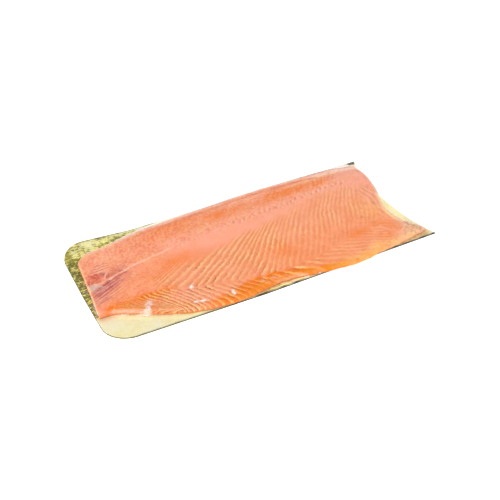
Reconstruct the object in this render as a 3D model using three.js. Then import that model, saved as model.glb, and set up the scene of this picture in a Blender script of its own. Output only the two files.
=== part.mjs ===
// A side of cold-smoked salmon lying skin down on a laminated card board,
// under one sheet of clear vacuum film.
//
// Frame, in millimetres: the origin is the middle of the board's underside.
// +X runs along the board from the tail end of the fish to its head end,
// +Y runs across from the thin belly edge to the thick back, +Z is up.
import * as THREE from "three";
import { mergeVertices } from "three/addons/utils/BufferGeometryUtils.js";

// ---- the board -------------------------------------------------------------
const BOARD_TAIL = 231.9; // from the middle to the straight tail edge
const BOARD_HEAD = 233.6; // from the middle to the corners of the head end
const BOARD_WIDTH = 200;
const BOARD_THICKNESS = 1.5;
const BOARD_CORNER_RADIUS = 33.8; // both corners of the tail end; the head end is square
const BOARD_END_HOLLOW = 17; // how far the head end's edge curves in at its middle
const BOARD_HOLLOW_POWER = 2.3; // 2 is a parabola, more is flatter in the middle
// Lift of the two long edges at the tail end, and where the curl fades to a flat board.
const NEAR_CURL = 6.4;
const NEAR_CURL_START = -30;
const BACK_CURL = 8;
const BACK_CURL_START = -130;

// ---- the fish --------------------------------------------------------------
const GAP = 0.3; // clearance between pieces that touch

// Plan of the belly edge, from the tail cut to the tip of the belly flap: x, y.
const BELLY_EDGE = [
  [-229, -49], [-209, -51.5], [-190, -61], [-168, -74], [-148, -84], [-120, -94.5],
  [-61, -99.5], [0, -92], [60, -100.6], [100, -105.6], [120, -104.6], [140, -101.6], [165, -98.7], [192, -96],
  [210, -93], [228, -90],
];
// Plan of the back edge: x, y.
const BACK_EDGE = [
  [-217, 62], [-205, 67.5], [-185, 69], [-160, 75], [-130, 81.5], [-100, 83], [-40, 84],
  [40, 85], [130, 84], [190, 83], [221, 82],
];
// Plan of the tail cut and of the collar cut at the head end: y, x.
const TAIL_CUT = [[-52, -228.5], [0, -223.8], [50, -219.3], [62, -217]];
const COLLAR_CUT = [
  [-92, 226.5], [-80, 216.5], [-66, 203.8], [-50, 197.4], [-36, 196.4], [-16, 201.2], [4, 208.2],
  [22, 212.3], [44, 215.7], [64, 217], [84, 219.5],
];
// Thickness of the flesh along the fish: x, at the belly edge, at the crown of
// the loin, at the back edge.
const THICKNESS = [
  [-228, 7.5, 11.5, 9.5],
  [-150, 7.0, 15.5, 12.5],
  [-60, 5.5, 19.5, 16.0],
  [40, 5.0, 22.5, 18.5],
  [130, 5.5, 23, 18.6],
  [172, 5.8, 22.3, 18.0],
  [200, 5.8, 20.0, 14.0],
  [228, 5.0, 16.0, 11.0],
];
const CROWN_AT = 0.74; // where the crown lies, as a share of the way from belly to back
const BELLY_ROUND = 5; // radii of the rounded upper edges
const BACK_ROUND = 11;
const TAIL_ROUND = 1.6;
const COLLAR_ROUND = 5;
const TAIL_CORNER = 9; // plan radius where the tail cut meets the back edge

// ---- the film --------------------------------------------------------------
const FILM_OFFSET = 0.4;
const FILM_THICKNESS = 0.5;
const FILM_RINGS = 3; // rows of facets from the foot of the fish to the film's edge
const FILM_FOOT = 6; // the film comes down to the board within this distance

// ---- grids -----------------------------------------------------------------
const FISH_LONG = graded([0, 1.6, 5], 32, [0, 2, 5.5, 12], 440);
const FISH_CROSS = graded([0, 1.4, 4, 9], 10, [0, 1.6, 4.5, 10], 165);
const BOARD_LONG = 22;
const BOARD_CROSS = 18;

// Shares from 0 to 1 with fine steps, given in mm, at both ends of a span.
function graded(start, middle, end, span) {
  const out = start.map((d) => d / span);
  const a = start[start.length - 1] / span;
  const b = 1 - end[end.length - 1] / span;
  for (let i = 1; i < middle; i++) out.push(a + ((b - a) * i) / middle);
  for (let i = end.length - 1; i >= 0; i--) out.push(1 - end[i] / span);
  return out;
}

const clamp = (v, lo, hi) => Math.min(hi, Math.max(lo, v));
const mix = (a, b, t) => a + (b - a) * t;
const ease = (t) => t * t * (3 - 2 * t);

// Smooth curve through rows of [at, value, ...], read at a place along it.
function through(rows, at, column = 1) {
  const n = rows.length;
  const x = clamp(at, rows[0][0], rows[n - 1][0]);
  let i = 0;
  while (i < n - 2 && x > rows[i + 1][0]) i++;
  const slope = (k) => {
    const a = rows[Math.max(0, k - 1)];
    const b = rows[Math.min(n - 1, k + 1)];
    return (b[column] - a[column]) / (b[0] - a[0]);
  };
  const h = rows[i + 1][0] - rows[i][0];
  const t = (x - rows[i][0]) / h;
  const t2 = t * t;
  const t3 = t2 * t;
  return (
    (2 * t3 - 3 * t2 + 1) * rows[i][column] +
    (t3 - 2 * t2 + t) * h * slope(i) +
    (3 * t2 - 2 * t3) * rows[i + 1][column] +
    (t3 - t2) * h * slope(i + 1)
  );
}

// Lift of the board's underside above the surface it lies on.
function curl(x, y) {
  const [most, start] = y < 0 ? [NEAR_CURL, NEAR_CURL_START] : [BACK_CURL, BACK_CURL_START];
  const t = clamp((start - x) / (BOARD_TAIL + start), 0, 1);
  return most * t * (y / (BOARD_WIDTH / 2)) ** 2;
}
const boardTop = (x, y) => curl(x, y) + BOARD_THICKNESS;

// The board's tail and head edges at a distance y across it.
function boardTail(y) {
  const over = Math.abs(y) - (BOARD_WIDTH / 2 - BOARD_CORNER_RADIUS);
  const arc = over > 0 ? BOARD_CORNER_RADIUS - Math.sqrt(Math.max(0, BOARD_CORNER_RADIUS ** 2 - over ** 2)) : 0;
  return -BOARD_TAIL + arc;
}
// Half the board's width at a distance x along it.
function boardSide(x) {
  const over = -BOARD_TAIL + BOARD_CORNER_RADIUS - x;
  const half = BOARD_WIDTH / 2;
  return over > 0 ? half - BOARD_CORNER_RADIUS + Math.sqrt(Math.max(0, BOARD_CORNER_RADIUS ** 2 - over ** 2)) : half;
}
const boardHead = (y) => BOARD_HEAD - BOARD_END_HOLLOW * (1 - Math.abs(y / (BOARD_WIDTH / 2)) ** BOARD_HOLLOW_POWER);

// A closed slab: a box of nu by nv facets whose vertices are placed by a
// function of their column, row and side.
function slab(nu, nv, place) {
  const box = new THREE.BoxGeometry(1, 1, 1, nu, nv, 1);
  box.deleteAttribute("normal");
  box.deleteAttribute("uv");
  const geometry = mergeVertices(box, 1e-4);
  const p = geometry.attributes.position;
  for (let k = 0; k < p.count; k++) {
    const i = Math.round((p.getX(k) + 0.5) * nu);
    const j = Math.round((p.getY(k) + 0.5) * nv);
    p.setXYZ(k, ...place(i, j, p.getZ(k) > 0));
  }
  geometry.computeVertexNormals();
  return geometry;
}

// ---- board -----------------------------------------------------------------
// Rows crowd towards the long edges so that they follow the corners' arcs.
function boardPoint(i, j, top) {
  const s = (2 * j) / BOARD_CROSS - 1;
  const y = (BOARD_WIDTH / 2) * Math.sin((Math.PI / 2) * Math.sign(s) * Math.abs(s) ** 0.82);
  const x = mix(boardTail(y), boardHead(y), i / BOARD_LONG);
  return [x, y, top ? boardTop(x, y) : curl(x, y)];
}

// ---- fish ------------------------------------------------------------------
// Plan position of a column and row of the fish's grid.
function fishPlan(u, v) {
  let x = 0;
  let y = 0;
  for (let pass = 0; pass < 4; pass++) {
    x = mix(through(TAIL_CUT, y), through(COLLAR_CUT, y), u);
    y = mix(through(BELLY_EDGE, x), through(BACK_EDGE, x), v);
  }
  // the corner between the tail cut and the back is rounded
  const dx = u * 440;
  const dy = (1 - v) * 115;
  if (dx < TAIL_CORNER && dy < TAIL_CORNER) {
    const a = 1 - dx / TAIL_CORNER;
    const b = 1 - dy / TAIL_CORNER;
    const pull = (TAIL_CORNER * (1 - Math.SQRT1_2) * a * b * 2) / (a + b + 1e-6);
    x += pull * 0.9;
    y -= pull * 0.9;
  }
  return [x, y];
}

// Height of a rounded upper edge, from a share of the full height at the edge
// itself to the full height at the radius.
function rounded(distance, radius, share) {
  const t = clamp(distance / radius, 0, 1);
  return share + (1 - share) * Math.sqrt(1 - (1 - t) ** 2);
}

// Thickness of the flesh.
function flesh(x, v, u) {
  const belly = through(THICKNESS, x, 1);
  const crown = through(THICKNESS, x, 2);
  const back = through(THICKNESS, x, 3);
  const rise = v < CROWN_AT ? Math.sin((Math.PI / 2) * (v / CROWN_AT)) ** 0.85 : 1;
  const fall = v > CROWN_AT ? ease((v - CROWN_AT) / (1 - CROWN_AT)) : 0;
  const full = mix(belly, crown, rise) - (crown - back) * fall;
  const width = through(BACK_EDGE, x) - through(BELLY_EDGE, x);
  return (
    full *
    rounded(v * width, BELLY_ROUND, 0.42) *
    rounded((1 - v) * width, BACK_ROUND, 0.5) *
    rounded(u * 440, TAIL_ROUND, 0.86) *
    rounded((1 - u) * 430, COLLAR_ROUND, 0.62)
  );
}

const FISH_NU = FISH_LONG.length - 1;
const FISH_NV = FISH_CROSS.length - 1;
function fishPoint(i, j, top) {
  const u = FISH_LONG[i];
  const v = FISH_CROSS[j];
  const [x, y] = fishPlan(u, v);
  const foot = boardTop(x, clamp(y, -BOARD_WIDTH / 2, BOARD_WIDTH / 2)) + GAP;
  return [x, y, top ? foot + flesh(x, v, u) : foot];
}

// ---- film ------------------------------------------------------------------
// Outward direction of the fish's upper side at a vertex of its grid, with the
// walls counted as dropping straight down from the outline.
function fishOutward(i, j) {
  const at = (a, b) => {
    const ca = clamp(a, 0, FISH_NU);
    const cb = clamp(b, 0, FISH_NV);
    const p = new THREE.Vector3(...fishPoint(ca, cb, true));
    if (a !== ca || b !== cb) p.z = fishPoint(ca, cb, false)[2];
    return p;
  };
  const du = at(i + 1, j).sub(at(i - 1, j)).normalize();
  const dv = at(i, j + 1).sub(at(i, j - 1)).normalize();
  return du.cross(dv).normalize();
}

// The film's outer edge: the board's edge, or just past the fish where the
// fish reaches over the board. Columns and rows beyond the fish's grid run
// round the outline, ring by ring.
function filmEdge(i, j) {
  const ci = clamp(i, 0, FISH_NU);
  const cj = clamp(j, 0, FISH_NV);
  const [fx, fy] = fishPoint(ci, cj, true);
  const a = Math.abs(i - ci); // rings out past the ends
  const b = Math.abs(j - cj); // rings out past the sides
  const sy = j < 0 ? -1 : 1;
  if (b === 0) return [i < 0 ? boardTail(fy) : Math.max(boardHead(fy), fx + 1.2), fy];
  const side = sy < 0 ? Math.min(-boardSide(fx), fy - 1.2) : boardSide(fx);
  if (a === 0) return [fx, side];
  // a corner: walk along the outline from the end to the side
  const t = a === b ? 0.5 : a > b ? (0.5 * b) / a : 1 - (0.5 * a) / b;
  const half = BOARD_WIDTH / 2;
  if (i < 0) {
    const straight = half - BOARD_CORNER_RADIUS - Math.abs(fy);
    const centre = -BOARD_TAIL + BOARD_CORNER_RADIUS;
    const last = Math.acos(clamp((centre - fx) / BOARD_CORNER_RADIUS, 0, 1));
    const whole = Math.max(0, straight) + last * BOARD_CORNER_RADIUS;
    const gone = t * whole - Math.max(0, straight);
    if (gone < 0) return [-BOARD_TAIL, sy * (half - BOARD_CORNER_RADIUS + gone)];
    const angle = gone / BOARD_CORNER_RADIUS;
    return [
      centre - BOARD_CORNER_RADIUS * Math.cos(angle),
      sy * (half - BOARD_CORNER_RADIUS + BOARD_CORNER_RADIUS * Math.sin(angle)),
    ];
  }
  if (t < 0.5) {
    const y = mix(fy, sy * half, t * 2);
    return [boardHead(y), y];
  }
  return [mix(BOARD_HEAD, fx, t * 2 - 1), mix(sy * half, side, t * 2 - 1)];
}

const FILM_NU = FISH_NU + 2 * FILM_RINGS;
const FILM_NV = FISH_NV + 2 * FILM_RINGS;
function filmPoint(col, row, top) {
  const i = col - FILM_RINGS;
  const j = row - FILM_RINGS;
  const ci = clamp(i, 0, FISH_NU);
  const cj = clamp(j, 0, FISH_NV);
  const base = new THREE.Vector3(...fishPoint(ci, cj, true));
  const out = fishOutward(ci, cj);
  const lift = FILM_OFFSET + (top ? FILM_THICKNESS : 0);
  base.addScaledVector(out, lift);
  const ring = Math.max(Math.abs(i - ci), Math.abs(j - cj));
  if (ring === 0) return base.toArray();
  const [ex, ey] = filmEdge(i, j);
  const reach = Math.hypot(ex - base.x, ey - base.y);
  const towardsBack = j > FISH_NV;
  let t = ring / FILM_RINGS;
  if (!towardsBack && reach > FILM_FOOT) {
    const near = FILM_FOOT / reach;
    t = ring === 1 ? near : mix(near, 1, (ring - 1) / (FILM_RINGS - 1));
  }
  const x = mix(base.x, ex, t);
  const y = mix(base.y, ey, t);
  const ground = boardTop(x, clamp(y, -BOARD_WIDTH / 2, BOARD_WIDTH / 2)) + 0.5 + (top ? FILM_THICKNESS : 0);
  const fall = towardsBack ? 1 - t : reach > FILM_FOOT ? (ring === 1 ? 0.1 : 0) : 1 - t;
  return [x, y, mix(ground, base.z, clamp(fall, 0, 1))];
}

// ---- the object ------------------------------------------------------------
function piece(name, geometry, colour, roughness, metalness, more = {}) {
  const mesh = new THREE.Mesh(
    geometry,
    new THREE.MeshStandardMaterial({ color: colour, roughness, metalness, ...more }),
  );
  mesh.name = name;
  return mesh;
}

const pack = new THREE.Group();
pack.name = "salmon_pack";
pack.add(piece("board", slab(BOARD_LONG, BOARD_CROSS, boardPoint), 0xe6d98c, 0.35, 0.8));
pack.add(piece("salmon_side", slab(FISH_NU, FISH_NV, fishPoint), 0xfaa683, 0.45, 0));
pack.add(
  piece("film", slab(FILM_NU, FILM_NV, filmPoint), 0xf4f4f4, 0.1, 0, { transparent: true, opacity: 0.2 }),
);

export default pack;
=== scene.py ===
import math

import bpy
import numpy as np
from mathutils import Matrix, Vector


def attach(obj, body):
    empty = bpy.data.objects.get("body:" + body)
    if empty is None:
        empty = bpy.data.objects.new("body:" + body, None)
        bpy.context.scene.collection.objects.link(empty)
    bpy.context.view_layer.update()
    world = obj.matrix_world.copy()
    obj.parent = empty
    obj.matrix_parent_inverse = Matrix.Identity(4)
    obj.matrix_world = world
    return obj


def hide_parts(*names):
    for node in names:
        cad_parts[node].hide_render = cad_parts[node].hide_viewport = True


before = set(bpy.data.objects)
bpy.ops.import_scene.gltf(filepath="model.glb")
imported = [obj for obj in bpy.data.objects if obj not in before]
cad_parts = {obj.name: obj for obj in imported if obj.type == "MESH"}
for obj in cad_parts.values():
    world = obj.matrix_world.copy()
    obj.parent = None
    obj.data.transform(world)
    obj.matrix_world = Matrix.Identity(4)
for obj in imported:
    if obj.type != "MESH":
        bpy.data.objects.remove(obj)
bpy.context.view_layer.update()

# ============================================================================
# Sizes, in millimetres, in the CAD frame: +X tail to head, +Y belly to back.
# ============================================================================
TAIL, HEAD, W, TH = 231.9, 233.6, 200.0, 1.5
CORNER, HOLLOW, HOLLOW_POWER = 33.8, 17.0, 2.3
NEAR_CURL, NEAR_CURL_START, BACK_CURL, BACK_CURL_START = 6.4, -30.0, 8.0, -130.0
GAP = 0.3

BELLY_EDGE = [(-229, -49), (-209, -51.5), (-190, -61), (-168, -74), (-148, -84), (-120, -94.5),
              (-61, -99.5), (0, -92), (60, -100.6), (100, -105.6), (120, -104.6), (140, -101.6), (165, -98.7), (192, -96),
              (210, -93), (228, -90)]
BACK_EDGE = [(-217, 62), (-205, 67.5), (-185, 69), (-160, 75), (-130, 81.5), (-100, 83), (-40, 84),
             (40, 85), (130, 84), (190, 83), (221, 82)]
TAIL_CUT = [(-52, -228.5), (0, -223.8), (50, -219.3), (62, -217)]
COLLAR_CUT = [(-92, 226.5), (-80, 216.5), (-66, 203.8), (-50, 197.4), (-36, 196.4), (-16, 201.2), (4, 208.2),
              (22, 212.3), (44, 215.7), (64, 217), (84, 219.5)]
THICKNESS = [(-228, 7.5, 11.5, 9.5), (-150, 7.0, 15.5, 12.5), (-60, 5.5, 19.5, 16.0), (40, 5.0, 22.5, 18.5),
             (130, 5.5, 23, 18.6), (172, 5.8, 22.3, 18.0), (200, 5.8, 20.0, 14.0), (228, 5.0, 16.0, 11.0)]
CROWN_AT, BELLY_ROUND, BACK_ROUND, TAIL_ROUND, COLLAR_ROUND, TAIL_CORNER = 0.74, 5, 11, 1.6, 5, 9


# ---- small maths -----------------------------------------------------------
def mix(a, b, t):
    return a + (b - a) * t


def ease(t):
    t = np.clip(t, 0, 1)
    return t * t * (3 - 2 * t)


def band(v, lo, hi, soft):
    """1 between lo and hi, fading to 0 over soft on both sides."""
    return ease((v - lo) / soft + 0.5) * ease((hi - v) / soft + 0.5)


def through(rows, at, column=1):
    """A smooth curve through rows of (at, value, ...), for arrays."""
    r = np.array(rows, float)
    xs, ys = r[:, 0], r[:, column]
    n = len(xs)
    x = np.clip(at, xs[0], xs[-1])
    i = np.clip(np.searchsorted(xs, x, side="right") - 1, 0, n - 2)
    lo, hi = np.maximum(0, np.arange(n) - 1), np.minimum(n - 1, np.arange(n) + 1)
    slope = (ys[hi] - ys[lo]) / (xs[hi] - xs[lo])
    h = xs[i + 1] - xs[i]
    t = (x - xs[i]) / h
    t2, t3 = t * t, t * t * t
    return ((2 * t3 - 3 * t2 + 1) * ys[i] + (t3 - 2 * t2 + t) * h * slope[i]
            + (3 * t2 - 2 * t3) * ys[i + 1] + (t3 - t2) * h * slope[i + 1])


def lattice(seed, n=256):
    return np.random.default_rng(seed).random((n, n))


_grids = {}


def noise(x, y, scale, seed=0):
    """Smooth value noise in the plane, from -1 to 1, with features of about scale mm."""
    if seed not in _grids:
        _grids[seed] = lattice(seed)
    g = _grids[seed]
    n = g.shape[0]
    u, v = np.asarray(x) / scale + 71.3, np.asarray(y) / scale + 37.7
    i, j = np.floor(u).astype(int), np.floor(v).astype(int)
    a, b = u - i, v - j
    a, b = a * a * (3 - 2 * a), b * b * (3 - 2 * b)
    q = lambda di, dj: g[(i + di) % n, (j + dj) % n]
    return 2 * (mix(mix(q(0, 0), q(1, 0), a), mix(q(0, 1), q(1, 1), a), b)) - 1


def blob(x, y, cx, cy, rx, ry, turn=0.0):
    """A soft round patch: 1 at its middle, 0 outside. turn is in degrees, from +X towards +Y."""
    c, s = math.cos(math.radians(turn)), math.sin(math.radians(turn))
    dx, dy = x - cx, y - cy
    return np.exp(-(((dx * c + dy * s) / rx) ** 2 + ((-dx * s + dy * c) / ry) ** 2))


def stroke(x, y, points, width, ragged=0.0, seed=91):
    """A soft line through a few named points: 1 on it, 0 away from it, tapering at both ends."""
    best = np.full(x.shape, 1e9)
    share = np.zeros(x.shape)
    wx = x + ragged * noise(x, y, 5.0, seed)
    wy = y + ragged * noise(x, y, 4.0, seed + 1)
    lengths = [math.dist(a, b) for a, b in zip(points, points[1:])]
    total, done = sum(lengths), 0.0
    for (ax, ay), (bx, by), n in zip(points, points[1:], lengths):
        t = np.clip(((wx - ax) * (bx - ax) + (wy - ay) * (by - ay)) / (n * n), 0, 1)
        d = np.hypot(wx - ax - t * (bx - ax), wy - ay - t * (by - ay))
        nearer = d < best
        best = np.where(nearer, d, best)
        share = np.where(nearer, (done + t * n) / total, share)
        done += n
    taper = np.clip(np.minimum(share, 1 - share) * 5 + 0.35, 0, 1)
    return np.exp(-(best / width) ** 2) * taper


# ---- board and fish as height fields ---------------------------------------
def curl(x, y):
    most, start = np.where(y < 0, NEAR_CURL, BACK_CURL), np.where(y < 0, NEAR_CURL_START, BACK_CURL_START)
    t = np.clip((start - x) / (TAIL + start), 0, 1)
    return most * t * (y / (W / 2)) ** 2


def board_top(x, y):
    return curl(x, np.clip(y, -W / 2, W / 2)) + TH


def board_tail(y):
    over = np.abs(y) - (W / 2 - CORNER)
    return -TAIL + np.where(over > 0, CORNER - np.sqrt(np.maximum(0, CORNER ** 2 - over ** 2)), 0)


def board_side(x):
    over = -TAIL + CORNER - x
    return np.where(over > 0, W / 2 - CORNER + np.sqrt(np.maximum(0, CORNER ** 2 - over ** 2)), W / 2)


def board_head(y):
    return HEAD - HOLLOW * (1 - np.abs(y / (W / 2)) ** HOLLOW_POWER)


def fish_plan(u, v):
    x = np.zeros_like(u)
    y = np.zeros_like(u)
    for _ in range(4):
        x = mix(through(TAIL_CUT, y), through(COLLAR_CUT, y), u)
        y = mix(through(BELLY_EDGE, x), through(BACK_EDGE, x), v)
    dx, dy = u * 440, (1 - v) * 115
    a, b = np.clip(1 - dx / TAIL_CORNER, 0, 1), np.clip(1 - dy / TAIL_CORNER, 0, 1)
    pull = np.where((a > 0) & (b > 0), TAIL_CORNER * (1 - math.sqrt(0.5)) * a * b * 2 / (a + b + 1e-6), 0)
    return x + pull * 0.9, y - pull * 0.9


def rounded(distance, radius, share):
    t = np.clip(distance / radius, 0, 1)
    return share + (1 - share) * np.sqrt(np.maximum(0, 1 - (1 - t) ** 2))


def flesh(x, v, u):
    belly, crown, back = (through(THICKNESS, x, k) for k in (1, 2, 3))
    rise = np.where(v < CROWN_AT, np.sin(np.pi / 2 * np.clip(v / CROWN_AT, 0, 1)) ** 0.85, 1)
    fall = np.where(v > CROWN_AT, ease((v - CROWN_AT) / (1 - CROWN_AT)), 0)
    full = mix(belly, crown, rise) - (crown - back) * fall
    width = through(BACK_EDGE, x) - through(BELLY_EDGE, x)
    return (full * rounded(v * width, BELLY_ROUND, 0.42) * rounded((1 - v) * width, BACK_ROUND, 0.5)
            * rounded(u * 440, TAIL_ROUND, 0.86) * rounded((1 - u) * 430, COLLAR_ROUND, 0.62))


# ============================================================================
# The muscle blocks. Each pale seam is a "<" with its tip on the apex line: an
# upper arm that runs up and towards the head, and a lower arm that runs down.
# ============================================================================
APEX_LINE = [(-340, -41), (-150, -43), (-136, -50), (-117, -59), (-97, -64), (-73, -70), (-52, -74), (-30, -78),
             (0, -80), (50, -79), (80, -75), (110, -69), (140, -62), (170, -56), (320, -45)]
UPPER_LEAN = [(-340, 2.7), (-200, 2.5), (-150, 2.0), (-117, 1.65), (-80, 1.4), (-52, 1.12), (-20, 0.9), (10, 0.75),
              (50, 0.68), (100, 0.62), (150, 0.56), (320, 0.5)]
LOWER_LEAN = [(-340, 3.2), (-215, 3.0), (-195, 2.0), (-178, 1.05), (-165, 0.78), (-150, 0.72), (-110, 0.85),
              (-75, 1.1), (-50, 1.5), (-15, 1.65), (15, 1.9), (45, 2.7), (70, 3.4), (140, 3.2), (320, 3.0)]
SPACING = [(-340, 12.5), (-160, 12), (-140, 11), (-100, 10.4), (-50, 10.4), (-20, 10.2), (10, 9.6), (50, 9.0),
           (90, 8.6), (140, 8.3), (320, 8)]
SPACING_LOW = [(-340, 6.4), (-152, 6.6), (-138, 8.8), (-125, 10.7), (-100, 10.4), (-70, 10.6), (-45, 13.5),
               (-20, 15.0), (15, 15.5), (45, 15), (75, 12), (100, 10), (140, 9), (320, 8)]
TIP_ROUND, LOW_ROUND = 2.2, 4.5

_table_x = np.linspace(-340, 320, 2641)


def _counted(spacing):
    rate = 1 / through(spacing, _table_x)
    total = np.concatenate([[0], np.cumsum((rate[1:] + rate[:-1]) / 2 * np.diff(_table_x))])
    return total - np.interp(-120.0, _table_x, total)


_count_up, _count_low = _counted(SPACING), _counted(SPACING_LOW)


def seams(x, y):
    """(phase, share of the way above the apex line, tip position along X) of the muscle blocks at a place in plan."""
    x = x + 1.3 * noise(x, y, 26, 11) + 0.75 * noise(x, y, 9, 12) + 0.3 * noise(x, y, 4.5, 15)
    y = y + 1.3 * noise(x, y, 24, 13) + 0.6 * noise(x, y, 8, 14) + 0.3 * noise(x, y, 4.5, 16)
    lo = np.full(x.shape, -339.0)
    hi = np.full(x.shape, 319.0)
    for _ in range(26):
        tip = (lo + hi) / 2
        t = y - through(APEX_LINE, tip)
        up = through(UPPER_LEAN, tip) * (np.sqrt(t * t + TIP_ROUND ** 2) - TIP_ROUND)
        up = up + 2.2 * np.sin(np.clip(t, 0, 90) / 90 * 2 * np.pi)
        low = through(LOWER_LEAN, tip) * (np.sqrt(t * t + LOW_ROUND ** 2) - LOW_ROUND)
        off = np.where(t > 0, up, low)
        high = tip + off > x
        hi = np.where(high, tip, hi)
        lo = np.where(high, lo, tip)
    tip = (lo + hi) / 2
    t = y - through(APEX_LINE, tip)
    up, low = np.interp(tip, _table_x, _count_up), np.interp(tip, _table_x, _count_low)
    return np.where(t > 0, up, low), t, tip


PIN_LINE = [(-230, 2), (-190, 3), (-165, 8), (-150, 11), (-120, 15.5), (-95, 18), (-60, 20), (0, 20.5), (40, 22),
            (75, 25), (100, 27.5), (150, 31), (200, 35)]
UPPER_END = [(-230, 40), (-205, -6), (-150, -22), (-100, -18), (-60, -13), (-20, -6), (20, 1), (60, 9), (100, 19),
             (150, 26), (230, 28)]


# Marks of the tail end and the collar end: (points, half width, strength), in mm.
DARK_STROKES = [
    ([(-219, -9.5), (-211, -7.5), (-203, -3.5), (-196, -1.0), (-189, 0.6)], 1.7, 1.0),
    ([(-222, 4.3), (-213, 3.6), (-205, 3.2)], 1.5, 0.8),
    ([(-202, 17.5), (-198, 13.5), (-200, 9.5)], 2.2, 0.85),
    ([(-197, 9.0), (-194, 6.0)], 2.0, 0.75),
    ([(-190, 9.0), (-186, 7.5)], 1.6, 0.5),
    ([(-182, 10.0), (-177, 8.4)], 1.4, 0.7),
    ([(-183, 2.0), (-178, 3.6), (-171, 4.6)], 1.7, 1.0),
    ([(-226, -21.5), (-216, -17.5), (-204, -13.5), (-194, -10.8)], 1.1, 0.75),
    ([(-226, -27.0), (-216, -23.5), (-206, -20.0)], 1.0, 0.55),
    ([(-224, -33.0), (-214, -29.5), (-206, -27.0)], 1.0, 0.4),
    ([(-200, -4.5), (-190, -5.0), (-184, -7.0)], 0.9, 0.35),
    ([(-217, 22.8), (-205, 22.4), (-191, 21.8)], 0.9, 0.6),
    ([(-207, 27.0), (-200, 26.6), (-192, 26.4)], 0.8, 0.5),
    ([(-207, 32.0), (-199, 31.8), (-190, 31.2)], 0.9, 0.55),
    ([(-186, 20.6), (-174, 19.8), (-164, 20.6)], 0.8, 0.35),
    ([(-167, 58.5), (-162, 59.5)], 1.3, 0.45),
    ([(-189, 58.5), (-186, 63.0)], 1.1, 0.6),
    ([(-199, 64.5), (-194, 65.5)], 1.3, 0.5),
    ([(-166, 7.5), (-158, 9.6), (-146, 8.8)], 1.0, 0.35),
    ([(181, -24.0), (190, -27.0)], 1.5, 0.75),
    ([(149, -42.0), (152, -42.5)], 1.6, 0.75),
    ([(159, -27.0), (161, -27.5)], 1.4, 0.7),
    ([(174, 8.0), (176, 7.6)], 1.3, 0.6),
    ([(119, -53.0), (121, -53.5)], 1.3, 0.5),
    ([(159, -57.0), (161, -57.5)], 1.4, 0.5),
    ([(199, -56.0), (206, -62.0)], 1.2, 0.5),
    ([(186, 12.0), (192, -8.0), (189, -30.0)], 1.0, 0.4),
    ([(177, 12.0), (184, -10.0), (181, -34.0)], 0.9, 0.32),
    ([(207, 58.0), (208, 48.0)], 1.5, 0.4),
    ([(206, 36.0), (207, 27.0)], 1.5, 0.45),
    ([(206, 10.0), (203, 3.0), (200, -5.0)], 1.7, 0.6),
    ([(197, 13.0), (193, 6.0)], 1.2, 0.4),
    ([(188, 8.0), (184, 2.0)], 1.2, 0.3),
    ([(183, -21.0), (188, -27.0), (190, -33.0)], 1.7, 0.55),
    ([(168, -18.0), (173, -23.0)], 1.5, 0.4),
    ([(178, 55.0), (182, 53.0)], 1.3, 0.5),
    ([(120, -50.0), (124, -52.0)], 1.3, 0.4),
]
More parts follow.
